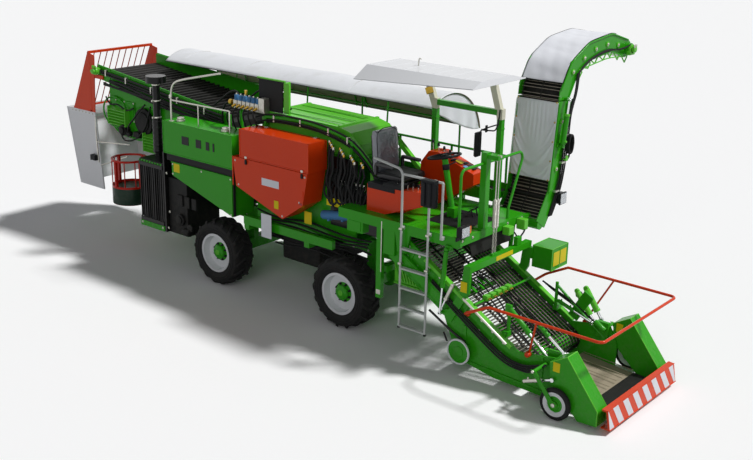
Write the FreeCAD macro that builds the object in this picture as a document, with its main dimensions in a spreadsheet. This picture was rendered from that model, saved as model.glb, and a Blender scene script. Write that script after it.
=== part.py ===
import FreeCAD, Part
import math
import os
from types import SimpleNamespace

import Sketcher
from FreeCAD import Placement, Rotation, Vector

# Self-propelled tomato harvester. Lengths in millimetres, angles in degrees.
# +X is forward, +Y is the machine's left, +Z is up, and the ground is Z = 0.
# While it is drawn, X counts from the rear axle and Y from the right tyres'
# outer face. The last section moves everything so that the origin lies on the
# ground, midway along the overall length and width.

SIZES = {
    # overall reach
    "rear_reach": 4100, "front_reach": 6440, "right_reach": 440, "left_reach": 3440,
    # wheels and axles
    "wheelbase": 2360, "track": 1900, "right_wheel_y": 50,
    "tyre_radius": 480, "tyre_width": 360, "rim_flange_radius": 285, "rim_width": 324,
    "bead_radius": 262, "hub_radius": 90, "kingpin_inset": 250, "kingpin_radius": 25,
    "axle_beam": 140,
    # main frame
    "rail_height": 200, "rail_width": 100, "rail_base": 850, "rail_inner_y": 670,
    "frame_middle_y": 1050,
    "frame_rear": 1500, "frame_front": 3250,
    # operator's platform
    "deck_top": 1700, "deck_thick": 40, "deck_rear": 2420, "deck_front": 4300,
    "deck_width": 1390, "deck_right": 190, "handrail_radius": 17,
    "roof_length": 1790, "roof_width": 1120, "roof_rise": 170, "roof_lift": 102,
    # harvesting head
    "head_pivot_x": 3450, "head_pivot_z": 1400, "head_angle": 31, "head_width": 1250,
    "head_centre_y": 480, "head_tube_radius": 30, "head_roller": 150,
    "head_side_thick": 22, "head_length": 2100, "head_depth": 400, "belt_thick": 30,
    "gauge_radius": 190, "gauge_width": 60, "bumper_width": 1620, "bumper_height": 220,
    # side housings
    "tank_height": 470, "tank_length": 1450, "guard_length": 1400, "guard_depth": 350,
    "guard_seam": 2000, "lid_height": 390, "sheet": 20,
    # shaker and hood
    "housing_width": 900, "hood_top": 2590, "hood_base": 2200,
    # rear conveyor, cage and apron
    "conveyor_width": 1200, "conveyor_wall": 25, "conveyor_pan": 14, "cage_width": 1260,
    "apron_thick": 20,
    # sorting side
    "table_top": 1850, "canopy_front": 2760, "canopy_rear": 2610,
    "steering_wheel_radius": 200,
    # discharge elevator
    "elevator_width": 600, "elevator_x": 3810, "elevator_depth": 240, "neck_gap": 12,
    "plate": 12, "running_gap": 0.3, "clear": 8,
}

doc = FreeCAD.newDocument("tomato_harvester")
sheet = doc.addObject("Spreadsheet::Sheet", "Sizes")
for row, (alias, number) in enumerate(SIZES.items(), start=1):
    sheet.set("A%d" % row, alias)
    sheet.set("B%d" % row, str(number))
    sheet.setAlias("B%d" % row, alias)
doc.recompute()
S = SimpleNamespace(**{alias: float(sheet.get(alias)) for alias in SIZES})

NODES = []


# ---------------------------------------------------------------- helpers
def bind(item, prop, value):
    """Set a property: a text value is a cell's alias, a number is worked out here."""
    if isinstance(value, str):
        item.setExpression(prop, "Sizes." + value)
    else:
        setattr(item, prop, value)


def box(corner, sizes):
    """A plain box from its lowest corner."""
    item = doc.addObject("Part::Box", "Box")
    for prop, value in zip(("Length", "Width", "Height"), sizes):
        bind(item, prop, value)
    item.Placement.Base = Vector(*corner)
    return item


def bar(start, end, wide, deep):
    """A rectangular bar centred on the line between two points; deep is upwards."""
    start, end = Vector(*start), Vector(*end)
    run = end - start
    side = Vector(0, 0, 1).cross(run)
    if side.Length < 1:
        side = Vector(0, 1, 0)
    turn = Rotation(run, side, Vector(0, 0, 0), "XYZ")
    item = doc.addObject("Part::Box", "Bar")
    bind(item, "Length", run.Length)
    bind(item, "Width", wide)
    bind(item, "Height", deep)
    half = Vector(0, -float(size_of(wide)) / 2, -float(size_of(deep)) / 2)
    item.Placement = Placement(start + turn.multVec(half), turn)
    return item


def rod(start, end, radius):
    """A round bar between two points."""
    start, end = Vector(*start), Vector(*end)
    item = doc.addObject("Part::Cylinder", "Rod")
    bind(item, "Radius", radius)
    bind(item, "Height", (end - start).Length)
    item.Placement = Placement(start, Rotation(Vector(0, 0, 1), end - start))
    return item


def size_of(value):
    """The number behind a size's alias, or the number itself."""
    return getattr(S, value) if isinstance(value, str) else value


def outline_sketch(body, plane, outline):
    """A closed sketch on one of the body's origin planes. A point given with a
    third value is the middle of an arc from the point before to the point after."""
    sketch = body.newObject("Sketcher::SketchObject", "Outline")
    origin = [f for f in body.Origin.OriginFeatures if f.Role == plane][0]
    sketch.AttachmentSupport = (origin, "")
    sketch.MapMode = "FlatFace"
    points = [Vector(p[0], p[1], 0) for p in outline]
    arcs = [len(p) == 3 for p in outline]
    curves, i, count = [], 0, len(points)
    while i < count:
        if arcs[(i + 1) % count]:
            arc = Part.Arc(points[i], points[(i + 1) % count], points[(i + 2) % count])
            curves.append(arc)
            i += 2
        else:
            curves.append(Part.LineSegment(points[i], points[(i + 1) % count]))
            i += 1
    sketch.addGeometry(curves, False)
    return sketch


def plate(plane, outline, thickness, offset):
    """A flat plate: outline in the XY, XZ or YZ plane, from offset towards plus."""
    body = doc.addObject("PartDesign::Body", "Plate")
    sketch = outline_sketch(body, plane + "_Plane", outline)
    pad = body.newObject("PartDesign::Pad", "Pad")
    pad.Profile = sketch
    bind(pad, "Length", thickness)
    lift = {"XY": Vector(0, 0, offset), "YZ": Vector(offset, 0, 0),
            "XZ": Vector(0, offset + size_of(thickness), 0)}[plane]
    body.Placement.Base = lift
    return body


def revolved(outline):
    """A solid of revolution about the machine's Y direction, from (radius, y) points."""
    body = doc.addObject("PartDesign::Body", "Turned")
    sketch = outline_sketch(body, "XY_Plane", outline)
    turn = body.newObject("PartDesign::Revolution", "Revolution")
    turn.Profile = sketch
    turn.ReferenceAxis = (sketch, ["V_Axis"])
    turn.Angle = 360
    return body


def tube(points, radius, bend=None):
    """A bent tube through the points, its corners rounded with tangent arcs."""
    points = [Vector(*p) for p in points]
    bend = bend or 3 * size_of(radius)
    edges, start = [], points[0]
    for before, corner, after in zip(points, points[1:], points[2:]):
        back, ahead = (before - corner).normalize(), (after - corner).normalize()
        half = back.getAngle(ahead) / 2
        trim = min(bend / math.tan(half), 0.45 * (before - corner).Length,
                   0.45 * (after - corner).Length)
        entry, leave = corner + back * trim, corner + ahead * trim
        reach = trim * math.tan(half)
        centre = corner + (back + ahead).normalize() * (reach / math.sin(half))
        middle = centre + (corner - centre).normalize() * reach
        edges.append(Part.LineSegment(start, entry).toShape())
        edges.append(Part.Arc(entry, middle, leave).toShape())
        start = leave
    edges.append(Part.LineSegment(start, points[-1]).toShape())
    spine = Part.Wire(edges)
    circle = Part.Circle(points[0], points[1] - points[0], size_of(radius)).toShape()
    item = doc.addObject("Part::Feature", "Tube")
    item.Shape = spine.makePipeShell([Part.Wire([circle])], True, True)
    return item


def fuse(items):
    """One solid from several that touch."""
    if len(items) == 1:
        return items[0]
    joined = doc.addObject("Part::MultiFuse", "Joined")
    joined.Shapes = items
    joined.Refine = True
    return joined


def cut(base, tools):
    """The base without the space of the tools."""
    result = doc.addObject("Part::Cut", "Cut")
    result.Base = base
    result.Tool = tools[0] if len(tools) == 1 else fuse(tools)
    return result


def group(items):
    """Separate solids kept together in one node."""
    together = doc.addObject("Part::Compound", "Group")
    together.Links = items
    return together


def node(name, item):
    """Names a finished piece, which becomes one file."""
    item.Label = name
    NODES.append(item)
    return item


def on_slope(origin, angle, along, across):
    """The (x, z) of a point along and square to a line that falls forwards."""
    a = math.radians(angle)
    return (origin[0] + along * math.cos(a) + across * math.sin(a),
            origin[1] - along * math.sin(a) + across * math.cos(a))


# ---------------------------------------------------------------- wheels
LEFT_WHEEL_Y = S.right_wheel_y + S.track
AXLE_Z = S.tyre_radius
BEAD = S.rim_width / 2 - 12


def tyre(name, x, y):
    """Ring with rounded shoulders and bulged side walls; the lugs are its outer skin."""
    half, outer = S.tyre_width / 2, S.tyre_radius
    bore = S.bead_radius + S.running_gap
    flange = S.rim_flange_radius + S.running_gap
    right = [(bore, BEAD - S.running_gap), (flange, BEAD - S.running_gap),
             (flange + 12, BEAD + 14), (outer - 100, half),
             (outer - 30, half - 14, "arc"), (outer, half - 60)]
    outline = right + [(r, -a, *rest) for r, a, *rest in reversed(right)]
    item = revolved(outline)
    item.Placement.Base = Vector(x, y, AXLE_Z)
    return node(name, item)


def rim(name, x, y, outward):
    """Dished rim with its hub cap; outward is -1 on the right and +1 on the left."""
    half, flange, seat = S.rim_width / 2, S.rim_flange_radius, S.bead_radius
    inner = seat - 12
    profile = [(0, 45), (inner - 12, 45), (inner, -half), (flange, -half),
               (flange, -BEAD), (seat, -BEAD), (seat, BEAD), (flange, BEAD), (flange, half),
               (inner, half), (inner - 12, 57), (S.hub_radius + 5, 57),
               (S.hub_radius, 105), (S.hub_radius - 25, 118), (0, 118)]
    item = revolved([(r, outward * a) for r, a in profile])
    item.Placement.Base = Vector(x, y, AXLE_Z)
    return node(name, item)


WHEELS = [("front_right", S.wheelbase, S.right_wheel_y, -1),
          ("front_left", S.wheelbase, LEFT_WHEEL_Y, 1),
          ("rear_right", 0, S.right_wheel_y, -1),
          ("rear_left", 0, LEFT_WHEEL_Y, 1)]
for place, wheel_x, wheel_y, outward in WHEELS:
    tyre(place + "_tyre", wheel_x, wheel_y)
    rim(place + "_rim", wheel_x, wheel_y, outward)

# Where a hub drum meets the inner face of its rim's disc.
DISC_OUT = 45 - S.running_gap


def hub_drum(x, y, outward, inner_y):
    """Drum that the rim's disc is bolted to."""
    return rod((x, inner_y, AXLE_Z), (x, y + outward * DISC_OUT, AXLE_Z), "hub_radius")


# ---------------------------------------------------------------- axles
RAIL_TOP = S.rail_base + S.rail_height
RIGHT_RAIL_Y = S.rail_inner_y - S.rail_width
MIDDLE_Y = S.frame_middle_y
LEFT_RAIL_Y = 2 * MIDDLE_Y - S.rail_inner_y
WALK_LEFT = 2330
OUTRIGGERS = (-900, 560, 1700, 3040)
FIRST_RIGHT_OUTRIGGER = 560


def axle_pads(x):
    """Two pads under the rails that carry an axle beam."""
    low = AXLE_Z + S.axle_beam / 2 - 10
    return [box((x - 90, rail_y, low), (180, "rail_width", S.rail_base - low))
            for rail_y in (RIGHT_RAIL_Y, LEFT_RAIL_Y)]


def front_axle():
    """Fixed drive axle: a square beam with a round middle casing and two hub drums."""
    x = S.wheelbase
    beam = bar((x, S.right_wheel_y + 130, AXLE_Z), (x, LEFT_WHEEL_Y - 130, AXLE_Z),
               "axle_beam", "axle_beam")
    casing = rod((x, MIDDLE_Y - 150, AXLE_Z), (x, MIDDLE_Y + 150, AXLE_Z), 165)
    drums = [hub_drum(x, S.right_wheel_y, -1, S.right_wheel_y + 140),
             hub_drum(x, LEFT_WHEEL_Y, 1, LEFT_WHEEL_Y - 140)]
    return node("front_axle", fuse([beam, casing] + drums + axle_pads(x)))


KINGPIN_Y = {-1: S.right_wheel_y + S.kingpin_inset, 1: LEFT_WHEEL_Y - S.kingpin_inset}
LUG_TOP, LUG_BASE, LUG_THICK, LUG_RADIUS = AXLE_Z + 135, AXLE_Z - 135, 45, 58


def rear_axle():
    """Steering axle: a beam with a fork at each end round the kingpin."""
    pieces, bores = axle_pads(0), []
    ends = sorted(KINGPIN_Y.values())
    beam = bar((0, ends[0] + 95, AXLE_Z), (0, ends[1] - 95, AXLE_Z), "axle_beam", 160)
    pieces.append(beam)
    for side, y in KINGPIN_Y.items():
        inner = y - side * 95
        pieces.append(box((-S.axle_beam / 2, min(inner, inner - side * 50), LUG_BASE),
                          ("axle_beam", 50, LUG_TOP - LUG_BASE)))
        for z in (LUG_BASE, LUG_TOP - LUG_THICK):
            pieces.append(rod((0, y, z), (0, y, z + LUG_THICK), LUG_RADIUS))
            pieces.append(box((-LUG_RADIUS, min(y, inner), z), (2 * LUG_RADIUS, 95, LUG_THICK)))
        bores.append(rod((0, y, LUG_BASE - 5), (0, y, LUG_TOP + 5),
                         S.kingpin_radius + S.running_gap))
    return node("rear_axle", cut(fuse(pieces), bores))


BOSS_RADIUS, SPINDLE_RADIUS = 50, 42


def knuckle(name, wheel_y, side):
    """Steering knuckle: kingpin, boss, spindle and hub drum."""
    y = KINGPIN_Y[side]
    pin = rod((0, y, LUG_BASE - 4), (0, y, LUG_TOP + 4), "kingpin_radius")
    boss = rod((0, y, LUG_BASE + LUG_THICK + 5), (0, y, LUG_TOP - LUG_THICK - 5), BOSS_RADIUS)
    spindle = rod((0, y, AXLE_Z), (0, wheel_y - side * 80, AXLE_Z), SPINDLE_RADIUS)
    drum = hub_drum(0, wheel_y, side, wheel_y - side * 90)
    return node(name, fuse([pin, boss, spindle, drum]))


front_axle()
rear_axle()
knuckle("right_knuckle", S.right_wheel_y, -1)
knuckle("left_knuckle", LEFT_WHEEL_Y, 1)


# ---------------------------------------------------------------- main frame
def main_frame():
    """Two long rails with cross members, and the brackets that carry the axles."""
    rear, length = -S.frame_rear, S.frame_rear + S.frame_front
    pieces = [box((rear, y, S.rail_base), (length, "rail_width", "rail_height"))
              for y in (RIGHT_RAIL_Y, LEFT_RAIL_Y)]
    inner = LEFT_RAIL_Y - S.rail_inner_y
    for x in (rear, -500, 500, 1500, S.frame_front - 100):
        pieces.append(box((x, S.rail_inner_y - 5, S.rail_base + 20), (100, inner + 10, 150)))
    # Outriggers on the right carry the side housings and on the left the sorting table.
    for x in OUTRIGGERS:
        if x >= FIRST_RIGHT_OUTRIGGER:
            pieces.append(box((x, -60, RAIL_TOP - 90), (90, RIGHT_RAIL_Y + 70, 80)))
        pieces.append(box((x, LEFT_RAIL_Y + 90, RAIL_TOP - 90),
                          (90, WALK_LEFT - LEFT_RAIL_Y - 90, 80)))
    sill = box((560, -70, RAIL_TOP - 12), (1650, 60, 120))
    pieces.append(sill)
    return node("main_frame", fuse(pieces))


main_frame()

# ---------------------------------------------------------------- engine side
ENGINE_FACE_Y = -60
ENGINE_INNER_Y = 255


def engine():
    """Plain block at the engine's place, with its sump low behind the rear wheel."""
    upper = box((-1040, ENGINE_INNER_Y, 1110), (1140, 560, 580))
    lower = box((-1040, ENGINE_FACE_Y, 560), (400, RIGHT_RAIL_Y - 10 - ENGINE_FACE_Y, 840))
    feet = [box((x, RIGHT_RAIL_Y + 5, RAIL_TOP), (80, 90, 70)) for x in (-950, -60)]
    return node("engine", fuse([upper, lower] + feet))


def radiator():
    """Cooling pack with upright guard ribs on its outer face, and its bottom tray."""
    left, wide, low, high = -1640, 560, 700, 1600
    core = box((left, -100, low), (wide, 420, high - low))
    tray = box((left + 60, -110, low - 50), (wide - 60, 440, 50.0))
    count = 9
    pitch = wide / count
    ribs = [box((left + (i + 0.3) * pitch, -118, low + 10), (0.4 * pitch, 20, high - low - 20))
            for i in range(count)]
    post = box((left + wide - 2, -120, 560), (32, 110, 1230))
    carry = box((-S.frame_rear + 10, 315, S.rail_base + 20),
                (300, RIGHT_RAIL_Y - S.running_gap - 315, 120))
    return node("radiator", fuse([core, tray, post, carry] + ribs))


TANK_REAR, TANK_BASE, TANK_FACE = -1010, 1800, -150


def fuel_tank():
    """Folded box for fuel and oil, on the machine's right side."""
    tank = box((TANK_REAR, TANK_FACE, TANK_BASE), ("tank_length", 420, "tank_height"))
    top = TANK_BASE + S.tank_height
    caps = [rod((x, -20, top - 5), (x, -20, top + 60), 45) for x in (-760, 180)]
    feet = [box((x, 60, 1690), (80, 200, 120)) for x in (-900, 60)]
    return node("fuel_tank", fuse([tank] + caps + feet))


def side_panel():
    """Lower housing with the slanting underside above the rear wheel."""
    outline = [(-840, 1690), (425, 1690), (425, 1115), (-840, 1490)]
    wide = ENGINE_INNER_Y - S.running_gap - TANK_FACE
    return node("side_panel", plate("XZ", outline, wide, TANK_FACE))


engine()
radiator()
fuel_tank()
side_panel()

# ---------------------------------------------------------------- shaker guard
GUARD_REAR = 445
GUARD_FRONT = GUARD_REAR + S.guard_length


def shaker_guard():
    """Lower half of the drive guard: an open-topped tray with a pointed underside."""
    nose_x, nose_z, over = 1390, 1300, 10
    outline = [(GUARD_REAR, S.guard_seam), (GUARD_FRONT, S.guard_seam),
               (GUARD_FRONT - 80, 1560), (nose_x, nose_z), (GUARD_REAR + 65, 1590)]
    inside = [(GUARD_REAR + S.sheet, S.guard_seam + over),
              (GUARD_FRONT - S.sheet, S.guard_seam + over),
              (GUARD_FRONT - 80 - S.sheet, 1560 + S.sheet), (nose_x - S.sheet, nose_z + S.sheet),
              (GUARD_REAR + 65 + S.sheet, 1590 + S.sheet)]
    shell = plate("XZ", outline, "guard_depth", TANK_FACE)
    hollow = plate("XZ", inside, S.guard_depth - 2 * S.sheet, TANK_FACE + S.sheet)
    return node("shaker_guard", cut(shell, [hollow]))


LID_REAR, LID_ARMS, LID_PIN = 590, (740, 1640), 7
LID_HINGE = (TANK_FACE + S.guard_depth + 12, S.guard_seam + S.clear + S.lid_height - 10)


def guard_lid():
    """Upper half of the guard: a cover that swings up about its top inner edge."""
    base, wall = S.guard_seam + S.clear, S.sheet
    front = GUARD_FRONT + 20
    top = base + S.lid_height
    shell = box((LID_REAR, TANK_FACE, base), (front - LID_REAR, "guard_depth", "lid_height"))
    hollow = box((LID_REAR + wall, TANK_FACE + wall, base - 10),
                 (front - LID_REAR - 2 * wall, S.guard_depth, S.lid_height - wall + 10))
    knuckles = [rod((x + 17, *LID_HINGE), (x + 77, *LID_HINGE), 14) for x in LID_ARMS]
    bore = rod((LID_REAR, *LID_HINGE), (front, *LID_HINGE), LID_PIN + S.running_gap)
    return node("guard_lid", cut(fuse([cut(shell, [hollow])] + knuckles), [bore]))


shaker_guard()
guard_lid()

# ---------------------------------------------------------------- shaker
HOUSING_REAR, HOUSING_FRONT, HOUSING_RIGHT = 500, 2330, 260


def shaker_housing():
    """Separator body: two side walls, floor and cross ducts, open front and rear."""
    length = HOUSING_FRONT - HOUSING_REAR
    low, high = RAIL_TOP, S.hood_base
    walls = [box((HOUSING_REAR, y, low), (length, 30, high - low))
             for y in (HOUSING_RIGHT, HOUSING_RIGHT + S.housing_width - 30)]
    floor = box((HOUSING_REAR, HOUSING_RIGHT, low), (length, "housing_width", 40))
    far = HOUSING_RIGHT + S.housing_width - 10
    rotor = rod((1400, HOUSING_RIGHT + 10, 1750), (1400, far, 1750), 190)
    tie = box((HOUSING_FRONT - 80, HOUSING_RIGHT, high - 80), (80, "housing_width", 80))
    tie_rear = box((HOUSING_REAR, HOUSING_RIGHT, high - 80), (80, "housing_width", 80))
    guard_back = TANK_FACE + S.guard_depth + S.running_gap
    pads = [box((x, guard_back, 1700), (100, HOUSING_RIGHT + 5 - guard_back, 100))
            for x in (700, 1500)]
    arms = []
    for x in LID_ARMS:
        arms.append(rod((x, *LID_HINGE), (x + 12, *LID_HINGE), 11))
        arms.append(rod((x, *LID_HINGE), (x + 80, *LID_HINGE), LID_PIN))
        arms.append(bar((x + 6, *LID_HINGE), (x + 6, HOUSING_RIGHT + 15, high - 10), 12, 16))
    return node("shaker_housing", fuse(walls + [floor, rotor, tie, tie_rear] + pads + arms))


def shaker_hood():
    """Folded cover over the separator, sloping down towards the driver."""
    low, high = S.hood_base, S.hood_top
    outer = [(560, low), (560, high - 90), (700, high), (1980, high - 20), (2180, high - 70),
             (2240, high - 260), (2240, low)]
    inner = [(600, low - 10), (600, high - 110), (715, high - 35), (1975, high - 55),
             (2150, high - 100), (2200, high - 265), (2200, low - 10)]
    right, left = HOUSING_RIGHT + 50, HOUSING_RIGHT + S.housing_width - 50
    shell = plate("XZ", outer, left - right, right)
    hollow = plate("XZ", inner, left - right - 60, right + 30)
    pieces = [cut(shell, [hollow])]
    for y, end in ((right - 30, 2570), (left - 30, 2720)):
        drop = (end - 2150) * 0.85
        pieces.append(bar((2150, y + 30, high - 120), (end, y + 30, high - 120 - drop), 60, 60))
        foot = S.deck_top + S.running_gap
        pieces.append(box((end - 30, y, foot), (60, 60, high - 100 - drop - foot)))
    return node("shaker_hood", fuse(pieces))


shaker_housing()
shaker_hood()

# ---------------------------------------------------------------- rear conveyor
CONVEYOR_RIGHT = 400
CONVEYOR_LOW, CONVEYOR_END = (-180, 2330), (-3240, 2680)
# Top of the pan below the near edge, at the belt's low and high ends.
PAN_LOW = (-156, -116)


def along_conveyor(x):
    """Height of the conveyor's near edge at x."""
    share = (CONVEYOR_LOW[0] - x) / (CONVEYOR_LOW[0] - CONVEYOR_END[0])
    return CONVEYOR_LOW[1] + share * (CONVEYOR_END[1] - CONVEYOR_LOW[1])


def under_conveyor(x):
    """Height of the conveyor's underside at x."""
    share = (CONVEYOR_LOW[0] - x) / (CONVEYOR_LOW[0] - CONVEYOR_END[0])
    return along_conveyor(x) - 200 + 40 * share


def rear_conveyor():
    """Frame of the inclined vine conveyor: two side walls and the pan under its belt."""
    (x0, z0), (x1, z1) = CONVEYOR_LOW, CONVEYOR_END
    near = [(x0, z0 + 60), (x1, z1 + 60), (x1, z1 - 160), (x0, z0 - 200)]
    far = [(x0, z0 + 180), (x1, z1 + 110), (x1, z1 - 160), (x0, z0 - 200)]
    far_y = CONVEYOR_RIGHT + S.conveyor_width - S.conveyor_wall
    pan = [(x0, z0 + PAN_LOW[0]), (x1, z1 + PAN_LOW[1]), (x1, z1 + PAN_LOW[1] - S.conveyor_pan),
           (x0, z0 + PAN_LOW[0] - S.conveyor_pan)]
    pieces = [plate("XZ", near, "conveyor_wall", CONVEYOR_RIGHT),
              plate("XZ", far, "conveyor_wall", far_y),
              plate("XZ", pan, S.conveyor_width - 10, CONVEYOR_RIGHT + 5)]
    return node("rear_conveyor", fuse(pieces))


def vine_belt():
    """Both runs of the rubber belt that carries the vines, drawn as one thick band."""
    (x0, z0), (x1, z1) = CONVEYOR_LOW, CONVEYOR_END
    gap = S.running_gap
    band = [(x0, z0 - 60), (x1, z1 - 40), (x1, z1 + PAN_LOW[1] + gap), (x0, z0 + PAN_LOW[0] + gap)]
    inset = S.conveyor_wall + gap
    return node("vine_belt", plate("XZ", band, S.conveyor_width - 2 * inset,
                                   CONVEYOR_RIGHT + inset))


def fan_housing():
    """Rounded fan case that hangs under the rear conveyor, with posts to the frame."""
    top = [(x, under_conveyor(x) - S.running_gap) for x in (-3100, -1900)]
    outline = [top[0], top[1], (-1900, 1750), (-2250, 1640), (-2700, 1650, "arc"), (-3130, 1950)]
    case = plate("XZ", outline, 980, CONVEYOR_RIGHT + 110)
    stem = [box((-1900, y, 1760), (300, 60, 440)) for y in (RIGHT_RAIL_Y, LEFT_RAIL_Y)]
    legs = [box((-1600, y, S.rail_base), (100, 100, under_conveyor(-1500) - 0.3 - S.rail_base))
            for y in (RIGHT_RAIL_Y, LEFT_RAIL_Y)]
    legs.append(box((-1600, RIGHT_RAIL_Y, 1300), (101, 100, 100)))
    tie = box((-1600, RIGHT_RAIL_Y, 1300), (100, LEFT_RAIL_Y - RIGHT_RAIL_Y, 100))
    return node("fan_housing", fuse([case] + stem + legs + [tie]))


CAGE_RIGHT = CONVEYOR_RIGHT - 35
CAGE_TOP, CAGE_LOW = (-3420, 2920), (-3860, 1960)


def rear_guard_cage():
    """Guard round the vine outlet: two flared side plates and a row of slanting bars."""
    (xt, zt), (xl, zl) = CAGE_TOP, CAGE_LOW
    side = [(xt - 25, zt), (xt + 150, zt - 40), (xt + 90, zl), (xl - 40, zl)]
    right, left = CAGE_RIGHT, CAGE_RIGHT + S.cage_width
    pieces = [plate("XZ", side, 10, y) for y in (right, left)]
    pieces.append(bar((xt, right, zt), (xt, left + 10, zt), 40, 40))
    pieces.append(bar((xl, right, zl + 15), (xl, left + 10, zl + 15), 30, 30))
    count = 9
    pitch = S.cage_width / (count + 1)
    for i in range(count):
        y = right + (i + 1) * pitch
        pieces.append(rod((xt, y, zt), (xl, y, zl + 15), 8))
    inner = [(right + 10, CONVEYOR_RIGHT), (CONVEYOR_RIGHT + S.conveyor_width, left)]
    arms = [box((xt + 80, y0 + S.running_gap * (y0 > MIDDLE_Y), 2520),
                (250, y1 - y0 - S.running_gap, 60)) for y0, y1 in inner]
    return node("rear_guard_cage", fuse(pieces + arms))


def rear_apron():
    """U-shaped sheet chute under the cage that lets the vines down to the ground."""
    zl = CAGE_LOW[1] - 5
    side = [(-S.rear_reach + 20, zl), (-3330, zl), (-3210, 700), (-3830, 700)]
    right, left = CAGE_RIGHT, CAGE_RIGHT + S.cage_width - 10
    sides = [plate("XZ", side, "apron_thick", y) for y in (right, left)]
    back = [(-S.rear_reach, zl), (-S.rear_reach + 22, zl), (-3828, 700), (-3850, 700)]
    rear = plate("XZ", back, S.cage_width + 10, right)
    brace = box((-3380, right, zl - 60), (40, S.cage_width, 40))
    return node("rear_apron", fuse(sides + [rear, brace]))


def rear_basket():
    """Small round tub in a red hoop frame behind the cooling pack."""
    x, y, low, high, reach = -2290, 200, 720, 1430, 280
    tub = rod((x, y, low), (x, y, low + 270), reach)
    well = rod((x, y, low + 20), (x, y, high), reach - 16)
    ring = [rod((x, y, z), (x, y, z + 30), reach) for z in (low + 262, high - 30)]
    hole = rod((x, y, low + 20), (x, y, high + 5), reach - 28)
    posts = [box((x + dx - 20, y + dy - 20, low + 262), (40, 40, high - low - 262))
             for dx, dy in ((-reach + 16, 0), (reach - 16, 0), (0, -reach + 16), (0, reach - 16))]
    arm = box((x + reach - 10, y - 20, 1300), (-1640 - S.running_gap - x - reach + 10, 40, 60))
    cage = cut(fuse([cut(tub, [well])] + ring), [hole])
    return node("rear_basket", fuse([cage, arm] + posts))


def exhaust_stack():
    """Upright exhaust and intake pipe with its rain cap."""
    x, y = -1560, 200
    pipe = rod((x, y, 1600), (x, y, 2780), 55)
    sleeve = rod((x, y, 1640), (x, y, 2150), 75)
    cap = rod((x, y, 2700), (x, y, 2800), 150)
    return node("exhaust_stack", fuse([pipe, sleeve, cap]))


rear_conveyor()
vine_belt()
fan_housing()
rear_guard_cage()
rear_apron()
rear_basket()
exhaust_stack()

# ---------------------------------------------------------------- platform
DECK_RIGHT = -S.deck_right
DECK_LEFT = DECK_RIGHT + S.deck_width
DECK_BASE = S.deck_top - S.deck_thick
HEAD_RIGHT = S.head_centre_y - S.head_width / 2
HEAD_LEFT = HEAD_RIGHT + S.head_width
PIVOT = (S.head_pivot_x, S.head_pivot_z)
LIFT_TOP, RAM_Y = (4140, 1545), HEAD_RIGHT - 90


def mirrored(y):
    """The y on the other side of the head's centre plane."""
    return 2 * S.head_centre_y - y


POST_Y = 330


def spring_post():
    """Post at the front of the deck with the arm that the balance springs hang from."""
    post = box((S.deck_front - 90, POST_Y - 45, S.deck_top - 5), (80, 90, 935))
    shoe = box((S.deck_front - 140, POST_Y - 80, S.deck_top - 5), (135, 160, 20))
    arm = box((S.deck_front - 15, POST_Y - 30, S.deck_top + 860), (155, 110, 50))
    return [post, shoe, arm]


COLUMN_FOOT, COLUMN_HEAD = (3730, 450, 1700), (3575, 450, 2400)


def steering_column():
    """Pedestal and tilted column; the wheel turns on its top."""
    foot = box((3680, 390, S.deck_top - 5), (110, 120, 130))
    column = rod(COLUMN_FOOT, COLUMN_HEAD, 38)
    return fuse([foot, column])


def platform_deck():
    """Tread plate with its front lip, the steering column and the spring post."""
    length = S.deck_front - S.deck_rear
    floor = box((S.deck_rear, DECK_RIGHT, DECK_BASE), (length, "deck_width", "deck_thick"))
    lip = box((S.deck_front - 30, DECK_RIGHT, DECK_BASE - 60), (30, "deck_width", 60))
    return node("platform_deck", fuse([floor, lip, steering_column()] + spring_post()))


def platform_frame():
    """Posts from the rails to the deck, its cross beams and the brackets for the head."""
    pieces = [box((3050, DECK_RIGHT, 650), (80, 60, DECK_BASE - 650))]
    for x in (2440, 2960):
        for y in (RIGHT_RAIL_Y, LEFT_RAIL_Y - 300):
            pieces.append(box((x, y, RAIL_TOP), (100, 100, DECK_BASE - RAIL_TOP)))
        pieces.append(box((x, RIGHT_RAIL_Y, RAIL_TOP), (100, LEFT_RAIL_Y - RIGHT_RAIL_Y, 60)))
    for y in (DECK_RIGHT, DECK_LEFT - 60):
        pieces.append(box((S.deck_rear, y, DECK_BASE - 90),
                          (S.deck_front - S.deck_rear - 30, 60, 90)))
    for x in (S.deck_rear, 2960):
        pieces.append(box((x, DECK_RIGHT, DECK_BASE - 90), (70, "deck_width", 90)))
    side = [DECK_RIGHT, DECK_LEFT - 30]
    bracket = [(PIVOT[0] - 120, DECK_BASE - 60), (PIVOT[0] + 120, DECK_BASE - 60),
               (PIVOT[0] + 70, PIVOT[1] - 70), (PIVOT[0] - 70, PIVOT[1] - 70)]
    ears = [plate("XZ", bracket, 28, y) for y in side]
    for y0, y1 in ((RAM_Y + 15 + S.running_gap, DECK_RIGHT + 40),
                   (DECK_LEFT - 40, mirrored(RAM_Y) - 15 - S.running_gap)):
        pieces.append(box((LIFT_TOP[0] - 35, y0, LIFT_TOP[1] - 15), (70, y1 - y0, 60)))
    pivot_bore = rod((PIVOT[0], DECK_RIGHT - 20, PIVOT[1]), (PIVOT[0], DECK_LEFT + 20, PIVOT[1]),
                     S.head_tube_radius + S.running_gap)
    return node("platform_frame", cut(fuse(pieces + ears), [pivot_bore]))


def counter_springs():
    """Two balance springs that hang side by side from the post's arm."""
    x, top = S.deck_front + 110, S.deck_top + 860
    pieces = []
    for y in (POST_Y, POST_Y + 52):
        coil = rod((x, y, 1740), (x, y, 2080), 23)
        link = rod((x, y, 2070), (x, y, top - S.running_gap), 7)
        hook = rod((x, y, 1690), (x, y, 1745), 8)
        pieces.append(fuse([coil, link, hook]))
    return node("counter_springs", group(pieces))


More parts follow.
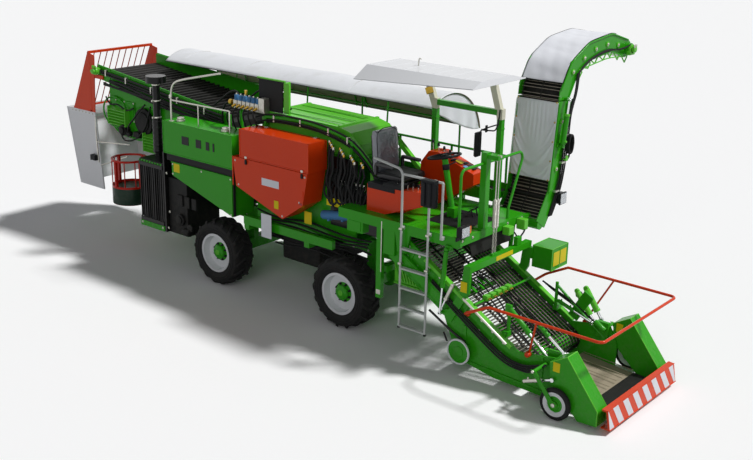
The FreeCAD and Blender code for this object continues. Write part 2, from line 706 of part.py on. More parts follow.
def platform_rail():
    """Handrails along the front and left of the deck and beside the ladder."""
    r = "handrail_radius"
    top = 2500
    x, foot, gap = S.deck_front - 50, S.deck_top + S.running_gap, 45 + S.running_gap
    front = tube([(x, DECK_RIGHT + 30, foot), (x, DECK_RIGHT + 30, top),
                  (x, POST_Y - gap, top)], r, 80)
    left = tube([(x, POST_Y + gap, top), (x, DECK_LEFT - 30, top),
                 (x, DECK_LEFT - 330, foot + 120), (x, DECK_LEFT - 330, foot)], r, 80)
    return node("platform_rail", group([front, left]))


def ladder():
    """Fixed ladder on the right of the deck, its stiles rising as hand holds."""
    left, right, y = 3870, 3470, DECK_RIGHT - 48
    low, high = 390, 2380
    pieces = [tube([(right, y, low), (right, y, high), (right - 440, y, high + 70)], 15, 90),
              rod((left, y, low), (left, y, high - 50), 15),
              rod((right, y, high - 50), (left + 190, y, high - 50), 15),
              rod((left + 190, y, high - 50), (left + 190, y, S.deck_top - 40), 15)]
    for x in (left, right, left + 190):
        pieces.append(box((x - 20, y, S.deck_top - 60), (40, DECK_RIGHT - y, 40)))
    for i in range(5):
        z = low + 15 + i * 250
        pieces.append(box((right, y - 14, z - 12), (left - right, 28, 24)))
    return node("ladder", fuse(pieces))


platform_deck()
platform_frame()
counter_springs()
platform_rail()
ladder()

# ---------------------------------------------------------------- driver's place
SEAT_Y = 350


def driver_seat():
    """Cushion and backrest on a suspension base."""
    base = box((2790, SEAT_Y - 180, 1960 + S.running_gap), (360, 360, 110))
    cushion = box((2740, SEAT_Y - 250, 2065), (480, 500, 100))
    back = [(2690, 2110), (2790, 2110), (2735, 2680), (2650, 2665)]
    rest = plate("XZ", back, 470, SEAT_Y - 235)
    return node("driver_seat", fuse([base, cushion, rest]))


def control_consoles():
    """The seat box with its right-hand console, and the left-hand console."""
    top = S.deck_top + S.running_gap
    right = [(2760, top), (3060, top), (3600, 1900), (3600, 2080), (3020, 2030), (2760, 2040)]
    seat_box = box((2760, 120, top), (430, 470, 1960 - top))
    console = plate("XZ", right, 170, -40)
    left = [(2960, top), (3260, top), (3780, 2040), (3780, 2180), (3230, 2370), (3080, 2360),
            (2960, 2200)]
    far = plate("XZ", left, 230, DECK_LEFT - 420)
    return node("control_consoles", group([fuse([seat_box, console]), far]))


def steering_wheel():
    """Rim, hub and spokes on the tilted column."""
    axis = (Vector(*COLUMN_HEAD) - Vector(*COLUMN_FOOT)).normalize()
    hub_foot = Vector(*COLUMN_HEAD) + axis * S.running_gap
    hub_top = hub_foot + axis * 55
    centre = hub_foot + axis * 40
    turn = Rotation(Vector(0, 0, 1), axis)
    ring = doc.addObject("Part::Torus", "Ring")
    bind(ring, "Radius1", "steering_wheel_radius")
    bind(ring, "Radius2", 14)
    ring.Placement = Placement(centre, turn)
    spokes = []
    for i in range(3):
        angle = math.radians(90 + i * 120)
        out = turn.multVec(Vector(math.cos(angle), math.sin(angle), 0))
        spokes.append(rod(tuple(centre), tuple(centre + out * S.steering_wheel_radius), 9))
    hub = rod(tuple(hub_foot), tuple(hub_top), 35)
    return node("steering_wheel", fuse([hub, ring] + spokes))


ROOF_POST_Y = DECK_LEFT - 70
ROOF_REAR, ROOF_BASE = 2400, 3276


def under_roof(x):
    """Height of the roof's lower edge, which rises towards the front."""
    return ROOF_BASE + S.roof_lift * (x - ROOF_REAR) / S.roof_length


def roof_frame():
    """Two posts on the left of the deck, their beam, and the brackets under the roof."""
    y = ROOF_POST_Y
    pieces = [box((x, y, S.deck_top), (70, 70, high - S.deck_top))
              for x, high in ((2850, 2960), (3850, 2960))]
    pieces.append(box((2850, y, 2880), (1070, 60, 70)))
    for x, lean in ((2860, -150), (3860, -130)):
        pieces.append(bar((x + 20, y + 35, 2860),
                          (x + lean, y + 35, under_roof(x + lean) - 15), 60, 80))
    for x in (2710, 3730):
        pieces.append(box((x, y - 700, under_roof(x) - 40), (60, 760, 40 - S.running_gap)))
    return node("roof_frame", fuse(pieces))


def frustum(low, low_z, high, high_z):
    """Solid between two rectangles (x0, x1, y0, y1), each with its rear and front heights."""
    rings = []
    for (x0, x1, y0, y1), (z0, z1) in ((low, low_z), (high, high_z)):
        corners = [Vector(x0, y0, z0), Vector(x1, y0, z1), Vector(x1, y1, z1), Vector(x0, y1, z0)]
        rings.append(Part.makePolygon(corners + corners[:1]))
    item = doc.addObject("Part::Feature", "Frustum")
    item.Shape = Part.makeLoft(rings, True, True)
    return item


def driver_roof():
    """Moulded sun roof with sloping skirts, hollow underneath."""
    x0, x1 = ROOF_REAR, ROOF_REAR + S.roof_length
    y0 = DECK_LEFT - S.roof_width
    y1 = DECK_LEFT
    wall, over = 22, 0.5
    low, high = (ROOF_BASE, ROOF_BASE + S.roof_lift), ROOF_BASE + S.roof_rise
    outer = frustum((x0, x1, y0, y1), low, (x0 + 60, x1 - 20, y0 + 190, y1 - 280), (high, high))
    inner = frustum((x0 + wall, x1 - wall, y0 + wall, y1 - wall), (low[0] - over, low[1] - over),
                    (x0 + 75, x1 - 40, y0 + 205, y1 - 295), (high - wall, high - wall))
    return node("driver_roof", cut(outer, [inner]))


def lamps():
    """Work lamps: deck front right, elevator front and rear."""
    front = box((S.deck_front + S.running_gap, -300, 1735), (95, 170, 140))
    elevator = box((ELEVATOR_FRONT + S.running_gap, 1690, 1730), (100, 160, 160))
    rear = box((-3420, CAGE_RIGHT - S.running_gap - 90, 1170), (130, 90, 100))
    bracket = box((S.deck_front + S.running_gap, -300, 1690), (20, 170, 46))
    return node("lamps", group([fuse([front, bracket]), elevator, rear]))


ELEVATOR_REAR = S.elevator_x
ELEVATOR_FRONT = S.elevator_x + S.elevator_width

# ---------------------------------------------------------------- sorting side
TABLE_RIGHT, TABLE_WIDE, TABLE_FRONT = DECK_LEFT + 25, 380, 3780
WALK_RIGHT = TABLE_RIGHT + TABLE_WIDE + 30


def sorting_table():
    """Long belt table on the left, with its two side walls and its legs."""
    length = TABLE_FRONT + S.frame_rear
    bed = box((-S.frame_rear, TABLE_RIGHT, S.table_top - 110), (length, TABLE_WIDE, 80))
    walls = [box((-S.frame_rear, y, S.table_top - 110), (length, 15, 160))
             for y in (TABLE_RIGHT, TABLE_RIGHT + TABLE_WIDE - 15)]
    legs = [box((x + 15, LEFT_RAIL_Y + S.rail_width + S.running_gap, RAIL_TOP - 10),
                (60, 60, S.table_top - 100 - RAIL_TOP))
            for x in OUTRIGGERS]
    return node("sorting_table", fuse([bed] + walls + legs))


def sorter_platform():
    """Walkway for the sorters above the left wheels, with its guard rail."""
    floor = box((-1400, WALK_RIGHT, RAIL_TOP - 10), (4700, WALK_LEFT - WALK_RIGHT, 30))
    top = RAIL_TOP + 1000
    y = WALK_LEFT - 20
    pieces = [floor]
    for x in (-1380, -448, 484, 1416, 2348, 3280):
        pieces.append(rod((x, y, RAIL_TOP), (x, y, top), "handrail_radius"))
    for z in (RAIL_TOP + 520, top):
        pieces.append(rod((-1380, y, z), (3280, y, z), "handrail_radius"))
    pieces.append(box((-1400, WALK_LEFT - 12, RAIL_TOP), (4700, 12, 120)))
    return node("sorter_platform", fuse(pieces))


CANOPY_ARCH = [(1255, 2785), (1700, 2935), (2400, 2345)]
COVER_THICK = 14


ARCH = Part.Circle(*[Vector(0, *point) for point in CANOPY_ARCH])


def under_arch(y, inset):
    """Point (y, z) that lies inset below the canopy's outer face, on the radius through y."""
    across = y - ARCH.Center.y
    scale = (ARCH.Radius - inset) / ARCH.Radius
    return (ARCH.Center.y + across * scale,
            ARCH.Center.z + math.sqrt(ARCH.Radius ** 2 - across ** 2) * scale)


def arch(inset, deep):
    """Outline of a band between two depths under the canopy's outer face."""
    edges = [y for y, _ in CANOPY_ARCH]
    outer, inner = [[under_arch(y, depth) for y in edges] for depth in (inset, inset + deep)]
    return [outer[0], outer[1] + ("arc",), outer[2], inner[2], inner[1] + ("arc",), inner[0]]


def sorter_canopy():
    """Long arched sun cover over the sorters."""
    length = S.canopy_front + S.canopy_rear
    return node("sorter_canopy", plate("YZ", arch(0, COVER_THICK), length, -S.canopy_rear))


def canopy_frame():
    """Hoops, rails and posts under the canopy."""
    rail, under = 12, COVER_THICK + S.running_gap
    (y0, _), (ym, _), (y1, _) = CANOPY_ARCH
    rear, front = -S.canopy_rear + 20, S.canopy_front - 20
    pieces = []
    for y in (y0 + 25, ym, y1 - 15):
        at = under_arch(y, under + rail + 3)
        pieces.append(rod((rear, *at), (front, *at), rail))
    for x in (rear + 15, -1900, -1300, 500, 1990, front - 15):
        pieces.append(plate("YZ", arch(under, 14), 20, x - 10))
    for x in (500, 1990):
        pieces.append(rod((x, TABLE_RIGHT + 7, S.table_top + 50 + 4 * S.running_gap),
                          (x, *under_arch(y0 + 25, under + rail)), 12))
    far = WALK_LEFT - 60
    for x in (-1200, 700, 2500):
        top = under_arch(far + 14, under)[1] - 50
        pieces.append(rod((x, far, RAIL_TOP + 20 + S.running_gap), (x, far, top), 14))
        pieces.append(rod((x, far, top - 60), (x, *under_arch(y1 - 15, under + rail)), 10))
        pieces.append(plate("YZ", arch(under, 14), 20, x - 10))
    wall_y = CONVEYOR_RIGHT + S.conveyor_width - S.conveyor_wall / 2
    for x in (-2500, -1300):
        foot = along_conveyor(x) + 180 - 70 * (CONVEYOR_LOW[0] - x) / 3060
        pieces.append(rod((x, wall_y, foot + 1.5), (x, *under_arch(wall_y, under + 8)), 10))
    return node("canopy_frame", fuse(pieces))


# ---------------------------------------------------------------- discharge elevator
FOOT, BEND, JOINT = Vector(1400, 1530, 0), Vector(1650, 1900, 0), Vector(1760, 3050, 0)
LEAN = (JOINT - BEND).normalize()
NECK = [JOINT + LEAN * S.neck_gap, JOINT + LEAN * 90, Vector(1950, 3430, 0),
        Vector(2330, 3610, 0), Vector(2880, 3665, 0), Vector(S.left_reach - 110, 3545, 0)]


def ribbon(points, near, far):
    """Outline of a band along a path in the YZ plane, between two offsets to its left."""
    sides = []
    for offset in (near, far):
        line = []
        for i, point in enumerate(points):
            runs = [b - a for a, b in zip(points, points[1:])][max(i - 1, 0):i + 1]
            normals = [Vector(-r.y, r.x, 0).normalize() for r in runs]
            mitre = sum(normals[1:], normals[0]).normalize()
            line.append(point + mitre * (offset / mitre.dot(normals[0])))
        sides.append(line)
    return [(p.x, p.y) for p in sides[0] + sides[1][::-1]]


def trough(points):
    """Open channel along a path: two side plates with a pan on the outer side."""
    half = S.elevator_depth / 2
    outer = plate("YZ", ribbon(points, -half, half), "elevator_width", ELEVATOR_REAR)
    inner = plate("YZ", ribbon(points, -half + 3 * S.plate, half + 40),
                  S.elevator_width - 2 * S.plate, ELEVATOR_REAR + S.plate)
    return cut(outer, [inner])


HINGE = JOINT + Vector(LEAN.y, -LEAN.x, 0) * (S.elevator_depth / 2 + 46)
RAM_FOOT, RAM_EYE = Vector(1700, 2500, 0), Vector(1785, 3075, 0)
RAM_X = ELEVATOR_FRONT + 60


def at_x(x, point):
    """A path point (y, z) placed at x in the machine."""
    return (x, point.x, point.y)


def elevator_frame():
    """Lower, fixed part of the discharge elevator with the hinge ears at its top."""
    channel = trough([FOOT, BEND, JOINT])
    ear = [(JOINT.x + 60, JOINT.y - 160), (JOINT.x + 60, JOINT.y - 30),
           (HINGE.x - 30, HINGE.y + 34), (HINGE.x + 34, HINGE.y + 20),
           (HINGE.x + 34, HINGE.y - 40), (JOINT.x + 110, JOINT.y - 190)]
    ears = [plate("YZ", ear, 16, x) for x in (ELEVATOR_REAR - 16, ELEVATOR_FRONT)]
    pin = rod(at_x(ELEVATOR_REAR - 16, HINGE), at_x(ELEVATOR_FRONT + 16, HINGE), 16)
    lug = box((ELEVATOR_FRONT, RAM_FOOT.x - 25, RAM_FOOT.y - 30),
              (RAM_X - 38 - ELEVATOR_FRONT, 50, 60))
    stud = rod(at_x(ELEVATOR_FRONT, RAM_FOOT), at_x(RAM_X + 20, RAM_FOOT), 12)
    arms = [box((x, DECK_LEFT + S.running_gap, DECK_BASE - 80),
                (60, 1420 - DECK_LEFT, 60)) for x in (ELEVATOR_REAR + 20, ELEVATOR_REAR + 380)]
    roller = rod(at_x(ELEVATOR_REAR + 5, FOOT), at_x(ELEVATOR_FRONT - 5, FOOT), 70)
    return node("elevator_frame", fuse([channel, pin, lug, stud, roller] + ears + arms))


def elevator_tarp():
    """Cloth cover over the inner face of the lower elevator."""
    half = S.elevator_depth / 2 + S.running_gap
    low = BEND + LEAN * 230
    return node("elevator_tarp", plate("YZ", ribbon([low, JOINT - LEAN * 20], half, half + 14),
                                       S.elevator_width - 10, ELEVATOR_REAR + 5))


def gooseneck_frame():
    """Swan neck that folds down about the hinge on its outer side."""
    channel = trough(NECK)
    inset = S.plate + S.clear
    barrel = rod(at_x(ELEVATOR_REAR + inset, HINGE), at_x(ELEVATOR_FRONT - inset, HINGE), 32)
    lug = [(NECK[0].x + 105, NECK[0].y + 4), (HINGE.x + 4, HINGE.y), (HINGE.x + 20, HINGE.y + 24),
           (NECK[0].x + 150, NECK[0].y + 130)]
    hinge_lugs = [plate("YZ", lug, 40, x) for x in (ELEVATOR_REAR + 30, ELEVATOR_FRONT - 70)]
    bore = rod(at_x(ELEVATOR_REAR, HINGE), at_x(ELEVATOR_FRONT, HINGE), 16 + S.running_gap)
    tip = NECK[-1]
    roller = rod(at_x(ELEVATOR_REAR + 5, tip), at_x(ELEVATOR_FRONT + 60, tip), 75)
    nose = rod(at_x(ELEVATOR_REAR, tip), at_x(ELEVATOR_REAR + S.plate, tip), 110)
    nose_front = rod(at_x(ELEVATOR_FRONT - S.plate, tip), at_x(ELEVATOR_FRONT, tip), 110)
    eye_lug = rod(at_x(ELEVATOR_FRONT - 5, RAM_EYE), at_x(RAM_X - 19 - S.clear, RAM_EYE), 26)
    return node("gooseneck_frame", cut(fuse([channel, barrel, roller, nose, nose_front, eye_lug]
                                            + hinge_lugs), [bore]))


def gooseneck_tarp():
    """Cloth cover over the top of the swan neck."""
    half = S.elevator_depth / 2 + S.running_gap
    start = NECK[1] + (NECK[2] - NECK[1]) * 0.25
    end = NECK[4] + (NECK[5] - NECK[4]) * 0.2
    return node("gooseneck_tarp", plate("YZ", ribbon([start] + NECK[2:5] + [end], half, half + 14),
                                        S.elevator_width - 10, ELEVATOR_REAR + 5))


def cylinder_pair(foot, eye, barrel_length, bore_radius, rod_radius, rod_inside):
    """A hydraulic barrel with its foot ring, and its rod with its eye ring.
    Both rings lie across the cylinder, along the given pin direction."""
    run = (eye - foot).normalize()
    barrel_end = foot + run * barrel_length
    barrel = rod(tuple(foot + run * 20), tuple(barrel_end), bore_radius + 12)
    hollow = rod(tuple(barrel_end - run * (rod_inside + 20)), tuple(barrel_end + run), rod_radius
                 + S.running_gap)
    shaft = rod(tuple(barrel_end - run * rod_inside), tuple(eye - run * 20), rod_radius)
    return barrel, hollow, shaft


def ring(centre, pin, wide, radius, hole):
    """An eye ring with a pin hole, centred on a point."""
    pin = Vector(*pin) * (wide / 2)
    body = rod(tuple(centre - pin), tuple(centre + pin), radius)
    if not hole:
        return body
    return cut(body, [rod(tuple(centre - pin * 1.2), tuple(centre + pin * 1.2), hole)])


def neck_ram():
    """The swan neck's folding cylinder, as a barrel and a rod."""
    foot, eye = Vector(*at_x(RAM_X, RAM_FOOT)), Vector(*at_x(RAM_X, RAM_EYE))
    barrel, hollow, shaft = cylinder_pair(foot, eye, 400, 20, 16, 220)
    foot_ring = ring(foot, (1, 0, 0), 36, 26, 12 + S.running_gap)
    node("neck_ram_barrel", cut(fuse([barrel, foot_ring]), [hollow]))
    pin = rod(tuple(eye - Vector(19 + S.clear / 2, 0, 0)), tuple(eye + Vector(25, 0, 0)), 12)
    node("neck_ram_rod", fuse([shaft, ring(eye, (1, 0, 0), 38, 24, 0), pin]))


elevator_frame()
elevator_tarp()
gooseneck_frame()
gooseneck_tarp()
neck_ram()
driver_seat()
control_consoles()
steering_wheel()
roof_frame()
driver_roof()
lamps()
sorting_table()
sorter_platform()
sorter_canopy()
canopy_frame()

# ---------------------------------------------------------------- harvesting head
def slope(along, across):
    """A point of the head: along its belt from the pivot, and square to it."""
    return on_slope(PIVOT, S.head_angle, along, across)


TOP, UNDER = 120, 120 - S.head_depth
ROLLER_ACROSS = 70 - S.head_roller
SIDE_FRONT = 5750
BELT_RUN = (30, S.head_length - 100)


def head_frame():
    """Side plates, cross tubes, rear roller, gauge wheel arms and divider struts."""
    outline = [slope(-110, TOP), slope(1900, TOP), (5640, 600), (SIDE_FRONT, 390), (SIDE_FRONT, 75),
               (4820, 95), (4400, 170), (4230, 350), slope(900, UNDER), slope(-110, UNDER)]
    pieces = [plate("XZ", outline, "head_side_thick", y)
              for y in (HEAD_RIGHT, HEAD_LEFT - S.head_side_thick)]
    x, z = PIVOT
    pieces.append(rod((x, DECK_RIGHT, z), (x, DECK_LEFT, z), "head_tube_radius"))
    inner = S.head_width - 10
    for x, z, r in ((4400, 300, 110), (5560, 84, 30), slope(900, -90) + (30,)):
        pieces.append(rod((x, HEAD_RIGHT + 5, z), (x, HEAD_RIGHT + inner, z), r))
    for along in BELT_RUN:
        x, z = slope(along, ROLLER_ACROSS)
        pieces.append(rod((x, HEAD_RIGHT + 5, z), (x, HEAD_RIGHT + inner, z),
                          S.head_roller - S.belt_thick - S.running_gap))
    x, z = slope(1150, TOP + 15)
    pieces.append(rod((x, HEAD_RIGHT + 5, z), (x, HEAD_RIGHT + inner, z), 16))
    for side in (1, -1):
        def at(y):
            return y if side == 1 else mirrored(y)
        outer = -S.right_reach
        hub = (5800, S.gauge_radius)
        pieces.append(rod((5520, at(HEAD_RIGHT + 5), 500), (5520, at(outer), 500), 22))
        arm = plate("XZ", [(5490, 520), (5550, 520), (hub[0] + 30, hub[1] - 10),
                           (hub[0] - 30, hub[1] - 30)], 10, min(at(outer), at(outer + 10)))
        axle = rod((hub[0], at(outer + 5), hub[1]), (hub[0], at(GAUGE_IN), hub[1]), 18)
        cap = rod((hub[0], at(outer), hub[1]), (hub[0], at(outer + 10), hub[1]), 45)
        struts = [rod((4930, at(HEAD_RIGHT + 90), 960), (5600, at(HEAD_RIGHT + 60), 440), 17)]
        struts.append(rod((4930, at(HEAD_RIGHT + 95), 700), (4930, at(HEAD_RIGHT + 95), 1000), 20))
        struts.append(box((4900, min(at(HEAD_RIGHT), at(HEAD_RIGHT + 115)), 640), (60, 115, 60)))
        struts.append(box((5570, min(at(HEAD_RIGHT), at(HEAD_RIGHT + 80)), 380), (60, 80, 70)))
        pieces += [arm, axle, cap] + struts
    return node("head_frame", fuse(pieces))


GAUGE_IN = -S.right_reach + 10 + S.gauge_width + 6


def gauge_wheel(name, side):
    """Small free wheel beside the head, with a rounded tread."""
    half = S.gauge_width / 2
    centre = -S.right_reach + 10 + 5 + half
    outline = [(18 + S.running_gap, -half), (S.gauge_radius - 14, -half),
               (S.gauge_radius, 0, "arc"), (S.gauge_radius - 14, half), (18 + S.running_gap, half)]
    item = revolved(outline)
    y = centre if side == 1 else mirrored(centre)
    item.Placement.Base = Vector(5800, y, S.gauge_radius)
    return node(name, item)


def head_belt():
    """Closed loop of the rod chain between the side plates."""
    def loop(radius):
        near, far = BELT_RUN
        return [slope(near, ROLLER_ACROSS + radius), slope(far, ROLLER_ACROSS + radius),
                slope(far + radius, ROLLER_ACROSS) + ("arc",), slope(far, ROLLER_ACROSS - radius),
                slope(near, ROLLER_ACROSS - radius),
                slope(near - radius, ROLLER_ACROSS) + ("arc",)]
    start = HEAD_RIGHT + S.head_side_thick + S.clear
    wide = S.head_width - 2 * (S.head_side_thick + S.clear)
    outer = plate("XZ", loop(S.head_roller), wide, start)
    inner = plate("XZ", loop(S.head_roller - S.belt_thick), wide + 20, start - 10)
    return node("head_belt", cut(outer, [inner]))


def head_floor():
    """Pick-up floor and the upturned blade plate in front of it."""
    start = HEAD_RIGHT + S.head_side_thick + S.running_gap
    wide = S.head_width - 2 * (S.head_side_thick + S.running_gap)
    floor = plate("XZ", [(5310, 138), (SIDE_FRONT, 100), (6120, 70), (6120, 85), (SIDE_FRONT, 116),
                         (5310, 154)], wide, start)
    lip = S.front_reach - 109 - S.running_gap
    blade = plate("XZ", [(6110, 66), (lip, 58), (lip, 72), (6110, 84)], wide, start)
    return node("head_floor", fuse([floor, blade]))


def crop_dividers():
    """Tapered wedge boxes at both sides of the mouth."""
    outline = [(5670, 640), (5880, 760), (6290, 240), (6290, 62), (6060, 50), (5690, 400)]
    inner = HEAD_RIGHT - S.running_gap
    right = plate("XZ", outline, 205, inner - 205)
    left = plate("XZ", outline, 205, mirrored(inner))
    return node("crop_dividers", group([right, left]))


def bumper():
    """Striped transport guard across the cutting edge."""
    start = S.head_centre_y - S.bumper_width / 2
    x = S.front_reach
    outline = [(x, 60), (x - 40, 60 + S.bumper_height), (x - 110, 60 + S.bumper_height + 6),
               (x - 108, 60 + S.bumper_height - 12), (x - 58, 60 + S.bumper_height - 18),
               (x - 22, 72), (x - 109, 72), (x - 109, 60)]
    return node("striped_bumper", plate("XZ", outline, "bumper_width", start))


def safety_bar():
    """Orange tube loop round the head, with a strut on each side."""
    y0 = -S.right_reach + 35
    y1 = mirrored(y0)
    front, high = 6300, 1065
    root = HEAD_RIGHT - S.running_gap
    loop = tube([(4430, root - 12, 800), (4560, y0, 915), (4870, y0, high + 10), (front, y0, high),
                 (front, y1, high), (4870, y1, high + 10), (4560, y1, 915),
                 (4430, mirrored(root - 12), 800)], "handrail_radius", 70)
    flanges = [rod((4430, y, 800), (4430, y + step, 800), 32)
               for y, step in ((root, -18), (mirrored(root), 18))]
    struts = [rod((5500, y, high), (5290, base, 560), 12)
              for y, base in ((y0, root - 14), (y1, mirrored(root - 14)))]
    balls = [rod((5290, base, 550), (5290, base + step, 550), 28)
             for base, step in ((root, -50), (mirrored(root), 50))]
    return node("safety_bar", fuse([loop] + flanges + struts + balls))


PORTAL_X, PORTAL_Z = 4410, 1350
EYE = Vector(4080, 0, 735)


def head_portal():
    """Arch over the belt that the balance springs and the lift cylinders hold."""
    pieces = []
    outer = HEAD_RIGHT - S.running_gap - 38
    leg = [(PORTAL_X - 45, PORTAL_Z + 40), (PORTAL_X + 45, PORTAL_Z + 40), (PORTAL_X + 35, 1050),
           (4210, 640), (4120, 690), (4330, 1080)]
    for side in (1, -1):
        def at(y):
            return y if side == 1 else mirrored(y)
        pieces.append(plate("XZ", leg, 38, min(at(outer), at(outer + 38))))
        foot = [(4055, 710), (4105, 700), (4190, 700), (4210, 800), (4080, 765)]
        pieces.append(plate("XZ", foot, 12, min(at(outer), at(outer + 12))))
        pieces.append(rod((EYE.x, at(outer + 6), EYE.z), (EYE.x, at(RAM_Y + 21), EYE.z), 14))
    pieces.append(box((PORTAL_X - 40, outer, PORTAL_Z - 40), (80, mirrored(outer) - outer, 80)))
    left_end = mirrored(outer)
    pieces.append(box((PORTAL_X + 20, left_end - 40, PORTAL_Z - 180), (60, 60, 140)))
    pieces.append(box((PORTAL_X + 70, left_end - 10, 1060), (280, 380, 280)))
    return node("head_portal", fuse(pieces))


def lift_rams():
    """Lift cylinders on both sides: barrels hang from the deck, rods hold the portal."""
    barrels, rods = [], []
    for y in (RAM_Y, mirrored(RAM_Y)):
        foot, eye = Vector(LIFT_TOP[0], y, LIFT_TOP[1]), Vector(EYE.x, y, EYE.z)
        barrel, hollow, shaft = cylinder_pair(foot, eye, 480, 16, 14, 250)
        deep = rod(tuple(foot + (eye - foot).normalize() * 90),
                   tuple(foot + (eye - foot).normalize() * 490), 14 + S.running_gap)
        barrels.append(cut(fuse([barrel, ring(foot, (0, 1, 0), 30, 24, 0)]), [deep]))
        rods.append(fuse([shaft, ring(eye, (0, 1, 0), 34, 24, 12)]))
    node("lift_ram_barrels", group(barrels))
    node("lift_ram_rods", group(rods))


head_frame()
gauge_wheel("right_gauge_wheel", 1)
gauge_wheel("left_gauge_wheel", -1)
head_belt()
head_floor()
crop_dividers()
bumper()
safety_bar()
head_portal()
lift_rams()

# ---------------------------------------------------------------- finish
doc.recompute()
shift = Vector((S.rear_reach - S.front_reach) / 2, (S.right_reach - S.left_reach) / 2, 0)
for item in NODES:
    item.Placement = Placement(shift, Rotation()).multiply(item.Placement)
doc.recompute()

faults = [o.Name + " " + str(o.State) for o in doc.Objects
          if "Invalid" in o.State or "Error" in o.State]
for item in NODES:
    if item.Shape.isNull() or not item.Shape.isValid():
        faults.append(item.Label + " has no valid shape")
    elif not item.Shape.Solids:
        faults.append(item.Label + " has no solid")
if faults:
    raise RuntimeError("; ".join(faults))

os.makedirs("parts", exist_ok=True)
whole = FreeCAD.BoundBox()
volume = 0
for item in NODES:
    item.Shape.exportStep("parts/%s.step" % item.Label)
    bounds = item.Shape.optimalBoundingBox(False, False)
    whole.add(bounds)
    volume += item.Shape.Volume
    print("%-18s solids %d  x %7.1f %7.1f  y %7.1f %7.1f  z %7.1f %7.1f" % (
        item.Label, len(item.Shape.Solids), bounds.XMin, bounds.XMax, bounds.YMin, bounds.YMax,
        bounds.ZMin, bounds.ZMax))
print("nodes", len(NODES), "volume m3", round(volume / 1e9, 3), "box", whole)
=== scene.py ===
# Self-propelled tomato harvester: the finished surfaces and the details that ride on its frame.
# Lengths in the sections are millimetres ahead of the rear axle, left of the right-hand tyres'
# outer face and above the ground. spot() turns such a place into metres in the row frame.
import math

import bpy
from mathutils import Matrix, Vector


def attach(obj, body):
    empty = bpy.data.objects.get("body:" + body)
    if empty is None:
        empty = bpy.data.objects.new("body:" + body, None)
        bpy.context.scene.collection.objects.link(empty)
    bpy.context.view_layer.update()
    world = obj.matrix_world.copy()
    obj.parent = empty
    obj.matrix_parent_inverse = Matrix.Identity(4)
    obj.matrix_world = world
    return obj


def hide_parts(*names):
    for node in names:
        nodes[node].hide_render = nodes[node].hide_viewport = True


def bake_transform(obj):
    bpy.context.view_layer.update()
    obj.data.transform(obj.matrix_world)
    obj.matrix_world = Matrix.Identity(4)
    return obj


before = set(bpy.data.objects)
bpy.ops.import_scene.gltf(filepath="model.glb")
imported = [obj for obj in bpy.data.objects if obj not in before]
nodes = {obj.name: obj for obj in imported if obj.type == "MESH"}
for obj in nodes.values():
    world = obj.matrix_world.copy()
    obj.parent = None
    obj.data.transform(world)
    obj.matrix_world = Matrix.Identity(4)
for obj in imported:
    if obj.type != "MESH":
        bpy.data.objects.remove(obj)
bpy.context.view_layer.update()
bpy.ops.object.select_all(action="DESELECT")


def spot(x, y, z):
    """A place on the machine, in metres in the row frame."""
    return Vector((x - 1170, y - 1500, z)) / 1000


# ---------- green steelwork
# Chassis, housings, booms and the head are folded and welded steel plate, shot-blasted and
# sprayed with two-pack enamel: a deep gloss with a faint orange peel and dust low down.
def linear(code):
    """An sRGB hex colour as linear red, green, blue and alpha."""
    parts = [int(code[i:i + 2], 16) / 255 for i in (0, 2, 4)]
    return [c / 12.92 if c <= 0.04045 else ((c + 0.055) / 1.055) ** 2.4 for c in parts] + [1]


def add(tree, kind, settings=None):
    """Adds one shader node. Its settings are properties, values of inputs or sockets to link from."""
    item = tree.nodes.new("ShaderNode" + kind)
    for key, value in (settings or {}).items():
        if isinstance(value, bpy.types.NodeSocket):
            tree.links.new(value, item.inputs[key])
        elif isinstance(key, str) and hasattr(item, key):
            setattr(item, key, value)
        else:
            item.inputs[key].default_value = value
    return item


def new_material(name):
    """An empty material with its tree and its Object coordinates."""
    made = bpy.data.materials.new(name)
    made.use_nodes = True
    made.node_tree.nodes.clear()
    return made, made.node_tree, add(made.node_tree, "TexCoord").outputs["Object"]


def finish_material(tree, settings):
    """Closes a tree with its Principled shader and the output."""
    shader = add(tree, "BsdfPrincipled", settings)
    add(tree, "OutputMaterial", {"Surface": shader.outputs["BSDF"]})


